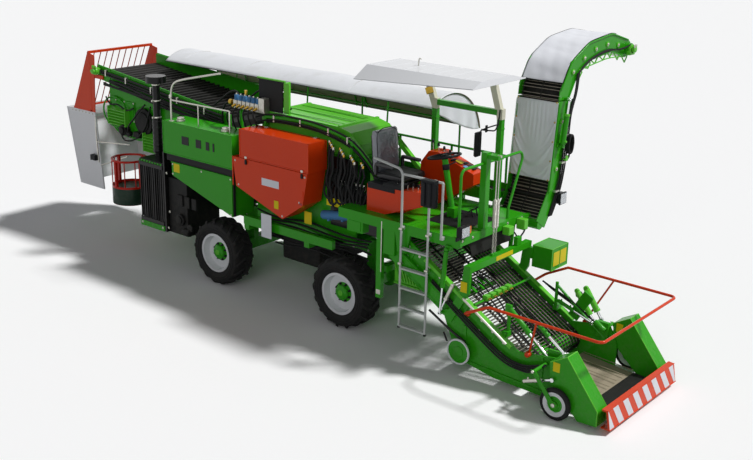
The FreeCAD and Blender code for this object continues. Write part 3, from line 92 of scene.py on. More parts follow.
def painted_steel(name, colour, shade, dust="7d7465", rough=0.26, coat=0.06, dust_top=1.5):
    """Sprayed enamel. Broad clouds vary the colour, and dust gathers towards the ground."""
    made, tree, place = new_material(name)
    clouds = add(tree, "TexNoise", {"Scale": 0.9, "Detail": 3, "Vector": place})
    body = add(tree, "Mix", {"data_type": "RGBA", 6: linear(colour), 7: linear(shade),
                             "Factor": clouds.outputs["Fac"]})
    height = add(tree, "SeparateXYZ", {"Vector": place}).outputs["Z"]
    low = add(tree, "MapRange", {"From Min": 0.0, "From Max": dust_top, "To Min": 0.16, "To Max": 0.02,
                                 "Value": height})
    # Dust lies in patches a few centimetres wide.
    patches = add(tree, "TexNoise", {"Scale": 14, "Detail": 6, "Roughness": 0.62, "Vector": place})
    cover = add(tree, "MapRange", {"From Min": 0.42, "From Max": 0.78, "Value": patches.outputs["Fac"]})
    share = add(tree, "Math", {"operation": "MULTIPLY", "use_clamp": True, 0: low.outputs["Result"],
                               1: cover.outputs["Result"]})
    colour_out = add(tree, "Mix", {"data_type": "RGBA", 7: linear(dust), "Factor": share.outputs[0],
                                   6: body.outputs[2]})
    gloss = add(tree, "MapRange", {"To Min": rough, "To Max": min(rough + 0.4, 0.8),
                                   "Value": share.outputs[0]})
    # Orange peel is 2 to 3 mm across.
    peel = add(tree, "TexNoise", {"Scale": 260, "Detail": 2, "Vector": place})
    bump = add(tree, "Bump", {"Strength": 0.05, "Distance": 0.001, "Height": peel.outputs["Fac"]})
    finish_material(tree, {"Coat Weight": coat, "Coat Roughness": 0.1, "IOR": 1.5,
                           "Specular IOR Level": 0.14, "Base Color": colour_out.outputs[2],
                           "Roughness": gloss.outputs["Result"], "Normal": bump.outputs["Normal"]})
    return made


green = painted_steel("green_enamel", "34a516", "2c9611")
# A lighter copy of the green enamel, whose extra lightness is partly painted sunlight.
sunlit_lighter_green = painted_steel("lighter_green_enamel_painted_sunlit", "6cd03c", "5ec034", rough=0.2)


def paint(material, *names):
    """Gives CAD nodes their finish."""
    for name in names:
        slots = nodes[name].data.materials
        slots.clear()
        slots.append(material)


paint(green, "main_frame", "front_axle", "rear_axle", "right_knuckle", "left_knuckle", "fuel_tank",
      "side_panel", "shaker_housing", "rear_conveyor", "fan_housing", "platform_deck", "platform_frame",
      "platform_rail", "elevator_frame", "gooseneck_frame", "neck_ram_barrel", "roof_frame",
      "sorting_table", "sorter_platform", "canopy_frame", "head_frame", "crop_dividers", "head_portal",
      "lift_ram_barrels")


def hold(piece):
    """Selects one piece alone, as the operators need."""
    bpy.ops.object.select_all(action="DESELECT")
    piece.select_set(True)
    bpy.context.view_layer.objects.active = piece


def settle(piece, name, material, body="chassis"):
    """Names a finished piece, or several joined to one, and puts its place into its mesh. It then
    rides its body, if it has one."""
    if isinstance(piece, list):
        piece = joined(piece)
    hold(piece)
    bpy.ops.object.transform_apply(location=True, rotation=True, scale=True)
    piece.name = piece.data.name = name
    piece.data.materials.clear()
    piece.data.materials.append(material)
    if body:
        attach(piece, body)
    return piece


def from_mesh(points, faces, edges=()):
    """A piece from its corners, in metres, and its faces."""
    mesh = bpy.data.meshes.new("piece")
    mesh.from_pydata(points, edges, faces)
    piece = bpy.data.objects.new("piece", mesh)
    bpy.context.scene.collection.objects.link(piece)
    hold(piece)
    return piece


def applied(piece, modifier):
    """Works a modifier into its piece's mesh."""
    bpy.context.view_layer.objects.active = piece
    bpy.ops.object.modifier_apply(modifier=modifier.name)
    return piece


def rounded(piece, width):
    """Breaks a piece's sharp edges."""
    modifier = piece.modifiers.new("edges", "BEVEL")
    modifier.width, modifier.segments = width / 1000, 2
    modifier.limit_method, modifier.angle_limit = "ANGLE", math.radians(35)
    return applied(piece, modifier)


def block(low, high, edge, turn=None):
    """A rectangular piece between two corners, with broken edges. turn is (axis, degrees)."""
    a, b = spot(*low), spot(*high)
    bpy.ops.object.select_all(action="DESELECT")
    bpy.ops.mesh.primitive_cube_add(size=1, location=(a + b) / 2)
    piece = bpy.context.object
    piece.scale = [abs(c) for c in b - a]
    if turn:
        piece.rotation_euler["XYZ".index(turn[0])] = math.radians(turn[1])
    bpy.ops.object.transform_apply(location=False, rotation=False, scale=True)
    return rounded(piece, edge)


def joined(pieces):
    """One piece from several."""
    bpy.ops.object.select_all(action="DESELECT")
    for piece in pieces:
        piece.select_set(True)
    bpy.context.view_layer.objects.active = pieces[0]
    if len(pieces) > 1:
        bpy.ops.object.join()
    return bpy.context.view_layer.objects.active


def bar(start, end, radius, sides, edge=0, radius_end=None):
    """A bar, pipe or disc between two places, with broken rims."""
    a, b = spot(*start), spot(*end)
    bpy.ops.object.select_all(action="DESELECT")
    bpy.ops.mesh.primitive_cone_add(
        vertices=sides, radius1=radius / 1000, depth=(b - a).length, location=(a + b) / 2,
        radius2=(radius if radius_end is None else radius_end) / 1000,
        rotation=(b - a).to_track_quat("Z", "Y").to_euler())
    piece = bpy.context.object
    bpy.ops.object.transform_apply(location=True, rotation=True, scale=True)
    if edge:
        rounded(piece, edge)
    bpy.ops.object.shade_smooth_by_angle(angle=math.radians(40))
    return piece


def post(x, y, low, high, *size):
    """A bar that stands upright. Its size is radius, sides and edge, as for the others."""
    return bar((x, y, low), (x, y, high), *size)


def disc(x, z, start, end, *size):
    """A bar that runs across the machine, from one y to another."""
    return bar((x, start, z), (x, end, z), *size)


def tubes(runs, radius, smooth=True, sides=3):
    """Pipes or hoses that follow runs of places. Smooth runs bend, others have mitred corners."""
    line = bpy.data.curves.new("run", "CURVE")
    line.dimensions = "3D"
    line.bevel_depth, line.bevel_resolution = radius / 1000, sides
    line.use_fill_caps = True
    for run in runs:
        spline = line.splines.new("NURBS" if smooth else "POLY")
        spline.points.add(len(run) - 1)
        for point, place in zip(spline.points, run):
            point.co = (*spot(*place), 1)
        if smooth:
            spline.order_u, spline.use_endpoint_u, spline.resolution_u = 3, True, 6
    piece = bpy.data.objects.new("run", line)
    bpy.context.scene.collection.objects.link(piece)
    hold(piece)
    bpy.ops.object.convert(target="MESH")
    bpy.ops.object.shade_smooth_by_angle(angle=math.radians(50))
    return bpy.context.object


def bolts(places, axis, radius):
    """Hexagon heads with their washers. Axis is the way they point."""
    way = Vector(axis).normalized()
    made = []
    for place in places:
        base = Vector(place)
        made += [bar(base, base + way * 3, radius * 1.7, 16),
                 bar(base + way * 2, base + way * 11, radius, 6, 1)]
    return joined(made)


# ---------- rails and fixings of the frame
# The rails' side plates are bolted through, and their zinc-plated heads show. Machined from
# bar and electroplated, the zinc is pale and slightly yellow with a soft sheen.
def bare_metal(name, colour, dark, rough=0.32, scale=30):
    """Plated or ground steel: cloudy tone and a roughness that wanders with it."""
    made, tree, place = new_material(name)
    clouds = add(tree, "TexNoise", {"Scale": scale, "Detail": 5, "Vector": place})
    tone = add(tree, "Mix", {"data_type": "RGBA", 6: linear(colour), 7: linear(dark),
                             "Factor": clouds.outputs["Fac"]})
    gloss = add(tree, "MapRange", {"To Min": rough, "To Max": rough + 0.18,
                                   "Value": clouds.outputs["Fac"]})
    # The plating is grained, about a millimetre across.
    grains = add(tree, "TexNoise", {"Scale": 900, "Detail": 1, "Vector": place})
    bump = add(tree, "Bump", {"Strength": 0.04, "Distance": 0.0005, "Height": grains.outputs["Fac"]})
    finish_material(tree, {"Metallic": 1.0, "Base Color": tone.outputs[2],
                           "Roughness": gloss.outputs["Result"], "Normal": bump.outputs["Normal"]})
    return made


zinc = bare_metal("zinc_plated_steel", "c9c8c0", "a5a39a")
chrome = bare_metal("hard_chromed_steel", "e4e6e8", "c6c9cc", rough=0.08)
worn_steel = bare_metal("soil_polished_steel", "9a948a", "5f5a50", rough=0.42, scale=60)

right_rail_face, left_rail_face = 569, 1531
places = [(x, right_rail_face, z) for x in range(-1350, 3200, 260) for z in (890, 1010)
          if not (x in range(480, 2320) and z == 1010)]
settle(bolts(places, (0, -1, 0), 9), "right_rail_bolts", zinc)
places = [(x, left_rail_face, z) for x in range(-1350, 3200, 260) for z in (890, 935)]
settle(bolts(places, (0, 1, 0), 9), "left_rail_bolts", zinc)

# ---------- drive and steering tyres
# Moulded bias-ply tyres with slanting bar lugs that run out over the shoulder. The rubber is
# carbon black, matt, greyed by dust on the bars and in the grooves.
def rubber(name, colour, dust, amount, rough=0.62, grain=120):
    """Filled rubber: near black, with dust that lies in fine patches."""
    made, tree, place = new_material(name)
    patches = add(tree, "TexNoise", {"Scale": grain / 8, "Detail": 7, "Roughness": 0.7, "Vector": place})
    cover = add(tree, "MapRange", {"From Min": 0.4, "From Max": 0.8, "To Max": amount,
                                   "Value": patches.outputs["Fac"]})
    tone = add(tree, "Mix", {"data_type": "RGBA", 6: linear(colour), 7: linear(dust),
                             "Factor": cover.outputs["Result"]})
    gloss = add(tree, "MapRange", {"To Min": rough, "To Max": 0.9, "Value": patches.outputs["Fac"]})
    pores = add(tree, "TexNoise", {"Scale": grain, "Detail": 4, "Vector": place})
    bump = add(tree, "Bump", {"Strength": 0.12, "Distance": 0.002, "Height": pores.outputs["Fac"]})
    finish_material(tree, {"IOR": 1.52, "Specular IOR Level": 0.2, "Base Color": tone.outputs[2],
                           "Roughness": gloss.outputs["Result"], "Normal": bump.outputs["Normal"]})
    return made


tyre_rubber = rubber("tyre_rubber", "131415", "45423c", 0.35)
hose_rubber = rubber("hose_rubber", "0e0f10", "2a2926", 0.25, 0.42, 400)
white_enamel = painted_steel("white_enamel", "e9eaec", "dddfe2", dust_top=0.6)


def turned(profile, centre, steps):
    """A ring turned from (radius, sideways) points about a line along Y through centre."""
    piece = from_mesh([Vector((0, y, r)) / 1000 for r, y in profile], [],
                      [(i, (i + 1) % len(profile)) for i in range(len(profile))])
    bpy.ops.object.mode_set(mode="EDIT")
    bpy.ops.mesh.select_all(action="SELECT")
    bpy.ops.mesh.spin(steps=steps, angle=math.tau, center=(0, 0, 0), axis=(0, 1, 0))
    bpy.ops.mesh.select_all(action="SELECT")
    bpy.ops.mesh.remove_doubles(threshold=0.0001)
    bpy.ops.mesh.normals_make_consistent(inside=False)
    bpy.ops.object.mode_set(mode="OBJECT")
    bpy.ops.object.shade_smooth_by_angle(angle=math.radians(32))
    piece.location = spot(*centre)
    bpy.ops.object.transform_apply(location=True, rotation=True, scale=True)
    return piece


def facing_out(piece):
    """Turns all faces of a closed piece outwards."""
    bpy.ops.object.mode_set(mode="EDIT")
    bpy.ops.mesh.select_all(action="SELECT")
    bpy.ops.mesh.normals_make_consistent(inside=False)
    bpy.ops.object.mode_set(mode="OBJECT")
    return piece


# The axle stands one tyre's radius above the ground. The tread is the carcass under the lugs.
axle_height, tread, tread_half = 480, 452, 178
lug_count, lug_height, lug_skew = 17, 28, 118


def lug_ring(side, skew):
    """Slanting bars moulded round one half of the tread, wrapped on its curve."""
    points, faces, steps = [], [], 6
    for index in range(lug_count):
        start = math.tau * (index + (0.5 if side > 0 else 0)) / lug_count
        first = len(points)
        for step in range(steps + 1):
            share = step / steps
            across = side * (-8 + share * (tread_half + 6))
            out = abs(across) / tread_half
            base = tread - 10 * out ** 2 - 70 * max(out - 0.86, 0) ** 1.4 * 4
            wide = (26 - 5 * (1 - share)) * (1 if share < 0.9 else 1.15)
            up = lug_height if share < 0.95 else lug_height * 0.25
            for offset, lift in ((-wide, -6), (-wide * 0.78, up), (wide * 0.78, up), (wide, -6)):
                reach = base + min(lift, axle_height - base if lift > 0 else lift)
                turn = start + (skew * share ** 1.25 + offset) / tread
                points.append(Vector((reach * math.cos(turn), across, reach * math.sin(turn))) / 1000)
        last = first + steps * 4
        for a in range(first, last, 4):
            faces += [(a + c, a + c + 4, a + c + 5, a + c + 1) for c in range(3)]
            faces.append((a + 3, a + 7, a + 4, a))
        faces += [(first, first + 1, first + 2, first + 3), (last + 3, last + 2, last + 1, last)]
    return rounded(facing_out(from_mesh(points, faces)), 4)


wheels = {"front_right": (2360, 50, -1), "front_left": (2360, 1950, 1), "rear_right": (0, 50, -1),
          "rear_left": (0, 1950, 1)}
half = [(268, -150), (292, -158), (330, -176), (372, -182), (400, -178), (428, -170), (443, -150),
        (451, -90)]
carcass = half + [(tread, 0)] + [(r, -y) for r, y in half[::-1]] + [(262, 120), (262, -120)]
for corner, (x, y, outward) in wheels.items():
    ring = turned(carcass, (x, y, axle_height), 96)
    beads = [turned([(r - 3, outward * w), (r, outward * (w + 5)), (r + 3, outward * w)],
                    (x, y, axle_height), 96) for r, w in ((312, 168), (352, 180), (386, 180))]
    lugs = []
    for side in (-1, 1):
        bars = lug_ring(side, lug_skew if x else -lug_skew)
        bars.location = spot(x, y, axle_height)
        bpy.ops.object.transform_apply(location=True, rotation=True, scale=True)
        lugs.append(bars)
    tyre = settle([ring] + beads + lugs, corner + "_lugged_tyre", tyre_rubber, corner + "_wheel")
    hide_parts(corner + "_tyre")

# ---------- rims, hubs and wheel nuts
# Rims are rolled steel in white enamel. The green hub is a casting with a planetary cover, and
# eight blackened studs with nuts hold the disc. A short valve stem stands in the disc.
paint(white_enamel, "front_right_rim", "front_left_rim", "rear_right_rim", "rear_left_rim")
black_steel = painted_steel("black_phosphate_steel", "1b1c1e", "101113", rough=0.38, coat=0.1)
for corner, (x, y, outward) in wheels.items():
    face = y + outward * 45
    cover = [(0.5, 78), (58, 78), (68, 74), (96, 62), (101, 52), (101, 18), (132, 16), (136, 12),
             (136, 1), (90, 0)]
    settle(turned([(r, outward * w) for r, w in cover], (x, face, axle_height), 48),
           corner + "_hub_cover", green, corner + "_wheel")
    nuts = []
    for index in range(8):
        angle = math.tau * (index + 0.5) / 8
        cx, cz = x + 118 * math.cos(angle), axle_height + 118 * math.sin(angle)
        nuts += [disc(cx, cz, face + outward * near, face + outward * far, *size)
                 for near, far, *size in ((14, 19, 19, 20), (18, 38, 14, 6, 2), (36, 50, 8, 12, 1))]
    settle(nuts, corner + "_wheel_nuts", black_steel, corner + "_wheel")
    lid = [(36, 84), (40, 80), (40, 76), (0.5, 76), (0.5, 84)]
    settle(turned([(r, outward * w) for r, w in lid], (x, face, axle_height), 32),
           corner + "_hub_lid", sunlit_lighter_green, corner + "_wheel")
    settle(disc(x + 196, axle_height + 60, face - outward * 4, face + outward * 40, 6, 12, 1),
           corner + "_valve_stem", black_steel, corner + "_wheel")

# ---------- engine and cooling pack
# The engine is cast iron in a dull grey-black, with its pulleys and filters. The cooling pack
# is a black steel case with upright ribs in a green tray. Two thick hoses join the two.
cast_iron = painted_steel("painted_cast_iron", "1d1e1e", "131414", rough=0.55, coat=0.0)
black_enamel = painted_steel("black_enamel", "141516", "0c0d0e", rough=0.3, coat=0.2)
paint(cast_iron, "engine")
paint(black_enamel, "radiator", "exhaust_stack")

rib_pitch = 47
louvres = [block((-1618 + i * rib_pitch, -128, 700), (-1604 + i * rib_pitch, -112, 1500), 3)
           for i in range(11)]
louvres += [block((-1640, -126, z), (-1100, -108, z + 60), 5) for z in (1500, 640)]
settle(louvres, "radiator_ribs", black_enamel)
settle([block((-1640, -124, 560), (-1095, 180, 600), 6),
        block((-1640, -130, 556), (-1095, -112, 640), 5),
        block((-1640, -118, 1552), (-1110, 200, 1588), 8)], "radiator_tray", green)
settle(bolts([(-1600, -128, 610), (-1130, -128, 610), (-1000, -122, 640), (-1000, -122, 1480),
              (-960, -122, 900)], (0, -1, 0), 10), "radiator_bolts", zinc)
settle(tubes([[(-1200, 60, 1560), (-1210, 60, 1680), (-1120, 80, 1720), (-1000, 120, 1640),
               (-900, 200, 1560)],
              [(-1180, 100, 700), (-1060, 120, 660), (-960, 100, 720), (-860, 140, 900)]],
             32), "coolant_hoses", hose_rubber)
engine_bits = [block((-820 + i * 150, -84, 1010), (-720 + i * 150, -56, 1180), 8) for i in range(3)]
engine_bits += [disc(-780, 800, -58, -100, 90, 40, 6),
                disc(-780, 800, -98, -120, 60, 40, 4),
                disc(-560, 720, -58, -100, 55, 32, 5),
                bar((-700, -85, 640), (-560, -85, 640), 55, 32, 8)]
settle(engine_bits, "engine_pulleys_and_filters", cast_iron)

# ---------- tank, side panel and rail
# The oil and fuel tank is a folded green box with four blind vent plates, two plated filler
# caps and a plated handrail. The lower panel carries a blank yellow warning film.
label_yellow = painted_steel("yellow_label_film", "e3d417", "d6c40e", rough=0.4, coat=0.0)
label_white = painted_steel("white_label_film", "e6e8ec", "d9dde4", rough=0.4, coat=0.0)
settle([block((x, -156, 1985), (x + wide, -148, 2105), 3)
        for x, wide in ((-600, 150), (-300, 110), (-90, 70), (50, 34))], "tank_vent_plates",
       black_steel)
settle([block((-1012, -157, 2262), (442, -143, 2276), 3),
        block((-1012, -157, 1796), (442, -143, 1812), 3),
        block((-1014, -157, 1796), (-1000, -143, 2276), 3),
        block((430, -157, 1796), (444, -143, 2276), 3)], "tank_folds", green)
for name, x in (("rear", -760), ("front", 180)):
    cap = [post(x, -20, 2268, 2300, 62, 40, 4), post(x, -20, 2300, 2332, 52, 12, 5),
           post(x, -20, 2330, 2340, 20, 24, 3), block((x - 60, -26, 2306), (x + 60, -14, 2322), 3)]
    settle(cap, name + "_filler_cap", zinc)
settle([block((-845, -157, 1672), (428, -143, 1692), 3),
        block((412, -157, 1118), (428, -143, 1690), 3)], "side_panel_folds", green)
settle(block((-800, -153, 1545), (-672, -149, 1682), 1), "side_panel_film", label_yellow)
settle(bolts([(-820, -150, 1655), (395, -150, 1655), (395, -150, 1140), (-200, -150, 1655),
              (-820, -150, 1512)], (0, -1, 0), 8), "side_panel_screws", zinc)
settle([block((-960, -140, 1694), (440, -110, 1796), 4),
        block((430, -140, 1120), (446, -100, 1990), 4)], "seal_strip", hose_rubber)
rail = [[(-880, -90, 2268), (-880, -90, 2560), (-860, -90, 2740), (-800, -90, 2830), (-670, -90, 2885),
         (-250, -60, 2985), (120, -40, 3070)], [(-860, -90, 2575), (-300, -90, 2580), (340, -90, 2590)]]
settle([tubes([rail[0]], 15), tubes([rail[1]], 11), post(-880, -90, 2268, 2276, 40, 24, 2),
        post(-882, -90, 2600, 2650, 24, 24, 3), post(340, -90, 2270, 2592, 11, 16, 1),
        post(-300, -90, 2270, 2582, 9, 16, 1)], "tank_handrail", zinc)

# ---------- drive guard and its lid
# Two folded orange covers close the belt drive. The lid swings up on two hinges and is held by
# rubber latches. A plain white film stands where a data label would be.
orange = painted_steel("orange_enamel", "e0420f", "d2380a", rough=0.24, coat=0.08, dust_top=1.0)
paint(orange, "shaker_guard", "guard_lid", "control_consoles", "safety_bar", "striped_bumper",
      "rear_guard_cage")
settle([block((440, -157, 1984), (1846, -143, 2001), 3), block((442, -157, 1592), (458, -143, 2000), 3),
        block((1758, -157, 1564), (1773, -143, 1760), 3)], "guard_folds", orange)
settle([block((588, -157, 2384), (1867, -143, 2403), 3), block((588, -157, 2007), (603, -143, 2400), 3),
        block((1851, -157, 2007), (1867, -143, 2400), 3),
        block((588, -156, 2007), (1867, -144, 2022), 3)], "lid_folds", orange, "guard_lid")
settle(block((1010, -154, 1700), (1330, -149, 1800), 1), "guard_white_film", label_white)
settle(block((1240, -154, 1420), (1320, -149, 1530), 1), "guard_yellow_film", label_yellow)
latches = []
for x in (700, 1740):
    latches += [block((x, -172, 1930), (x + 34, -152, 1990), 4),
                post(x + 17, -160, 1925, 1996, 6, 12, 1)]
settle(latches, "lid_latches", hose_rubber)
settle([block((x - 3, -166, 2010), (x + 37, -152, 2040), 3) for x in (700, 1740)], "lid_latch_keeps",
       zinc, "guard_lid")
settle(bolts([(500, -150, 1950), (1800, -150, 1950), (560, -150, 1620), (1390, -150, 1340),
              (1700, -150, 1590)], (0, -1, 0), 8), "guard_screws", zinc)
for name, x in (("rear_hinge", 740), ("front_hinge", 1640)):
    settle([block((x + 20, 150, 2398), (x + 74, 205, 2405), 2),
            *[post(x + 32 + i * 30, 176, 2403, 2409, 6, 6) for i in (0, 1)]], name + "_strap", zinc,
           "guard_lid")

# ---------- separator hood and its hoses
# The hood is folded sheet with pressed stiffening ribs, bolted along its rim. A bent tube and
# three hydraulic hoses run along its right edge down to the driver's place.
ribs = [block((735, y, 2588), (1960, y + 30, 2598), 4) for y in (420, 663, 906)]
ribs += [block((700, 318, 2580), (745, 1112, 2600), 6), block((1945, 318, 2562), (1990, 1112, 2588), 6),
         block((565, 318, 2470), (600, 1112, 2500), 5)]
paint(sunlit_lighter_green, "shaker_hood")
settle(ribs, "hood_ribs", sunlit_lighter_green)
settle(bolts([(x, 312, 2235) for x in range(620, 2200, 160)], (0, -1, 0), 8), "hood_screws", zinc)
settle([block((2150 + i * 26, 330, 2440 - i * 34), (2168 + i * 26, 1100, 2462 - i * 34), 3)
        for i in range(4)], "hood_front_slats", sunlit_lighter_green)
settle([tubes([[(690, 250, 2520), (1100, 250, 2552), (1520, 250, 2555), (1900, 252, 2510),
                (2250, 255, 2440), (2520, 258, 2230), (2770, 260, 2010)]], 26),
        block((680, 225, 2400), (720, 275, 2530), 4), block((2240, 228, 2200), (2280, 282, 2440), 4)],
       "hood_beam", green)
runs = [[(500, 262 + shift, 2440 + drop), (760, 250 + shift, 2530 + drop),
         (1150, 250 + shift, 2545 + drop), (1600, 250 + shift, 2540 + drop),
         (2000, 252 + shift, 2480 + drop), (2300, 255 + shift, 2390 + drop),
         (2560, 258 + shift, 2180 + drop), (2740, 250 + shift, 1980 + drop),
         (2780, 240 + shift, 1800 + drop)] for shift, drop in ((-14, 48), (-26, -24), (-12, -52))]
settle(tubes(runs, 13), "hood_hoses", hose_rubber)
settle([block((x, 216, z), (x + 26, 262, z + 90), 3)
        for x, z in ((860, 2475), (1350, 2490), (1850, 2455), (2180, 2390))], "hood_hose_clips", zinc)

solenoid_blue = painted_steel("blue_coil_plastic", "4f86b8", "3e709e", rough=0.45, coat=0.0)

# Between the guard and the driver's place hangs a thicket of hoses on the hydraulic pumps, with
# brass and plated fittings. The pumps are grey-black castings on a plate whose black enamel is
# painted shade for the dark gaps between the hoses.
first_hose, hose_pitch, loop_pitch = 1930, 36, 62
hydraulic, loops, fittings, plated = [], [], [], []
for index in range(18):
    x, y, z = first_hose + index * hose_pitch, 180 - index % 5 * 22, 2380 - index * 13
    sway = 34 * math.sin(index * 2.3)
    hydraulic.append([(x, y, z), (x + sway, y - 20, 2240 - index * 11), (x + 40 + sway, y - 46, 2080),
                      (x - 20, y - 60 + sway, 1900), (x + 20 - sway, y - 40, 1760),
                      (x + 30, y, 1600 + sway)])
settle(tubes(hydraulic, 15), "pump_hoses", hose_rubber)
for index in range(11):
    x = first_hose + index * loop_pitch
    low = 1640 + 60 * math.cos(index * 1.7)
    loops.append([(x, 150, 1900), (x + 10, 60, 1820), (x + 60, 30, low), (x + 150, 40, low - 30),
                  (x + 210, 90, low + 90), (x + 190, 150, low + 230)])
settle(tubes(loops, 14), "hose_loops", hose_rubber)
brass = bare_metal("machined_brass", "c9a64a", "9a7a2c", rough=0.25)
for index, run in enumerate(hydraulic):
    x, y, z = run[0]
    ends = fittings if index % 2 else plated
    ends += [post(x, y, z - 6, z + 26, 19, 6, 2), post(x, y, z - 34, z - 4, 15, 16, 2)]
for x in (run[0][0] for run in loops):
    plated += [post(x, 150, 1890, 1930, 18, 6, 2),
               bar((x + 190, 150, 1850), (x + 190, 152, 1900), 18, 6, 2)]
settle(fittings, "pump_brass_fittings", brass)
settle(plated, "pump_plated_fittings", zinc)
pumps = []
for x, z in ((2060, 1960), (2330, 1860), (2540, 1720)):
    pumps += [disc(x, z, 250, 120, 78, 32, 6), disc(x, z, 122, 92, 58, 32, 6),
              block((x - 62, 130, z - 62), (x + 62, 210, z + 62), 10),
              post(x, 170, z + 60, z + 96, 26, 20, 4)]
settle(pumps, "hydraulic_pumps", cast_iron)
# The plate's black is painted shade for the gaps between the hoses.
settle([block((1900, 240, 1250), (2360, 252, 2190), 4), block((2360, 240, 1250), (2700, 252, 1600), 4)],
       "pump_plate", black_enamel)
settle([bar((1900, 96, 1420), (2380, 96, 1500), 60, 32, 10),
        bar((1880, 96, 1416), (1900, 96, 1420), 34, 24, 4),
        block((2000, 60, 1360), (2030, 130, 1440), 4), block((2240, 60, 1400), (2270, 130, 1480), 4)],
       "oil_cooler_drum", solenoid_blue)
settle([block((1990, 60, 1580), (2330, 66, 1690), 3), block((1570, 84, 1230), (1700, 90, 1400), 3)],
       "pump_yellow_plates", label_yellow)
settle(block((985, -150, 965), (1178, -143, 1300), 4), "hanging_plate", label_white)
settle(tubes([[(x, 210 + 16 * math.sin(x / 170 + 2 * i), 1180 - 62 * i + 26 * math.sin(x / 210 + i))
               for x in range(560 + 60 * i, 2640, 90)] for i in range(7)], 13), "frame_hoses",
       hose_rubber)

# Under the belly hang the gearbox, its drive shafts and a dark sheet pan that sheds soil. Their
# near-black paint is partly painted shade, for the dark space between the wheels.
settle([block((820, 420, 470), (1540, 1500, 880), 40), bar((760, 900, 600), (140, 900, 560), 46, 24, 6),
        bar((1600, 900, 600), (2230, 900, 560), 46, 24, 6),
        block((560, 330, 880), (1840, 1650, 960), 12)], "belly_gearbox", cast_iron)

# ---------- valve bank
# A sandwich of steel valve plates with blue solenoid coils on top and brass couplings below
# stands on the frame beside the hood, next to a black rubber splash flap.
bank, coils, couplings, drops = [], [], [], []
valve_pitch = 84
for index in range(6):
    x = 145 + index * valve_pitch
    fan = (index - 2.5) * 26
    bank += [block((x - 35, 196, 2590), (x + 35, 300, 2680), 4), post(x, 230, 2750, 2772, 13, 6, 2)]
    coils.append(post(x, 230, 2676, 2752, 30, 24, 5))
    couplings += [bar((x, 204, 2618), (x, 160, 2600), 21, 6, 3),
                  bar((x, 164, 2602), (x, 138, 2592), 15, 20, 2)]
    drops.append([(x, 142, 2594), (x + fan * 0.4, 96, 2560), (x + fan, 96, 2470),
                  (x + fan * 1.4, 130, 2380), (x + fan * 1.2, 190, 2250), (x + fan, 240, 2120)])
bank += [block((612, 190, 2580), (716, 306, 2768), 6), block((96, 206, 2566), (716, 300, 2594), 4)]
couplings += [bar((80, 210, 2640), (30, 210, 2640), 40, 32, 6), post(300, 260, 2760, 2830, 22, 6, 3)]
settle(bank, "valve_plates", zinc)
settle(coils, "valve_coils", solenoid_blue)
settle(couplings, "valve_couplings", brass)
settle(tubes(drops, 12), "valve_hoses", hose_rubber)
back = [[(40, 212, 2640), (-60, 230, 2620), (-160, 260, 2520), (-240, 300, 2400), (-260, 330, 2290)],
        [(150, 280, 2700), (60, 330, 2790), (-120, 350, 2740), (-320, 360, 2600), (-500, 370, 2480)],
        [(320, 300, 2700), (420, 360, 2840), (620, 420, 2860), (860, 430, 2780), (1010, 420, 2640)]]
settle(tubes(back, 14), "valve_feed_hoses", hose_rubber)
settle([block((120, 300, 2200), (160, 340, 2600), 4), block((620, 300, 2200), (660, 340, 2600), 4),
        block((100, 296, 2560), (700, 346, 2584), 4)], "valve_stand", green)
settle([block((506, 306, 2590), (960, 322, 3010), 8), block((490, 302, 3006), (980, 328, 3030), 4)],
       "splash_flap", hose_rubber)
settle([block((985, 300, 2598), (1085, 320, 3015), 8), block((985, 318, 2598), (1005, 420, 3015), 5),
        block((480, 298, 3020), (1000, 330, 3040), 4)], "flap_upright", sunlit_lighter_green)

# ---------- exhaust
# The upright pipe is black enamel, and six rings round its lower part make a heat sleeve.
# Plated clamps hold it, and a wide rain cap sits on the top.
x, y = -1560, 200
settle([post(x, y, 1650 + i * 88, 1690 + i * 88, 79, 32, 3) for i in range(6)], "exhaust_sleeve",
       black_enamel)
collars = [post(x, y, z, z + 22, 64, 32, 3) for z in (2170, 2420, 2660)]
collars += [block((x - 12, y - 92, z - 2), (x + 12, y - 56, z + 24), 3) for z in (2170, 2420)]
settle(collars, "exhaust_clamps", zinc)
settle([post(x, y, 2724, 2768, 149, 48, 8), post(x, y, 2768, 2799, 120, 48, 6, 60)], "rain_cap",
       black_enamel)

# ---------- rear conveyor
# A trough of folded sheet carries a belt with rubber cleats. At its top end a hydraulic motor
# turns the head roller; hoses run along the near wall.
def run_height(x):
    """Height of the conveyor's near edge at x."""
    return 2330 + (-180 - x) / 3060 * 350


belt_rubber = rubber("belt_rubber", "1c1d1d", "4a463e", 0.45, 0.5, 200)
cleats = []
for x in range(-3160, -300, 112):
    z = run_height(x) - 53 - 0.006 * (-180 - x) + 10
    cleats.append(block((x, 432, z - 8), (x + 22, 1568, z + 26), 4, ("Y", 6.7)))
settle(cleats, "conveyor_cleats", belt_rubber)
paint(belt_rubber, "vine_belt")
settle([tubes([[(-200, y, run_height(-200) + front), (-3230, y, run_height(-3230) + rear)]], 11, False)
        for y, front, rear in ((400, 62, 62), (1604, 182, 112))], "conveyor_edge_tubes", green)
pipes = [[(-300, 372, run_height(-300) + 10), (-1500, 372, run_height(-1500) + 2),
          (-2600, 372, run_height(-2600) + 6), (-3140, 372, run_height(-3140) - 8)],
         [(-300, 366, run_height(-300) - 34), (-1500, 366, run_height(-1500) - 42),
          (-2500, 366, run_height(-2500) - 40), (-3120, 372, run_height(-3120) - 40)]]
pipes += [[(x, 364 - 9 * (i % 2) - 12 * math.sin(x / 340 + i),
            run_height(x) - (88 + 26 * i) - 14 * math.sin(x / 260 + 2 * i))
           for x in range(-300, -2900 - 60 * i, -130)] for i in range(5)]
settle(tubes(pipes, 17), "conveyor_hoses", hose_rubber)
settle([block((x, 350, run_height(x) - 62), (x + 26, 398, run_height(x) + 36), 4)
        for x in (-700, -1300, -1900, -2500, -3000)], "conveyor_hose_clamps", zinc)
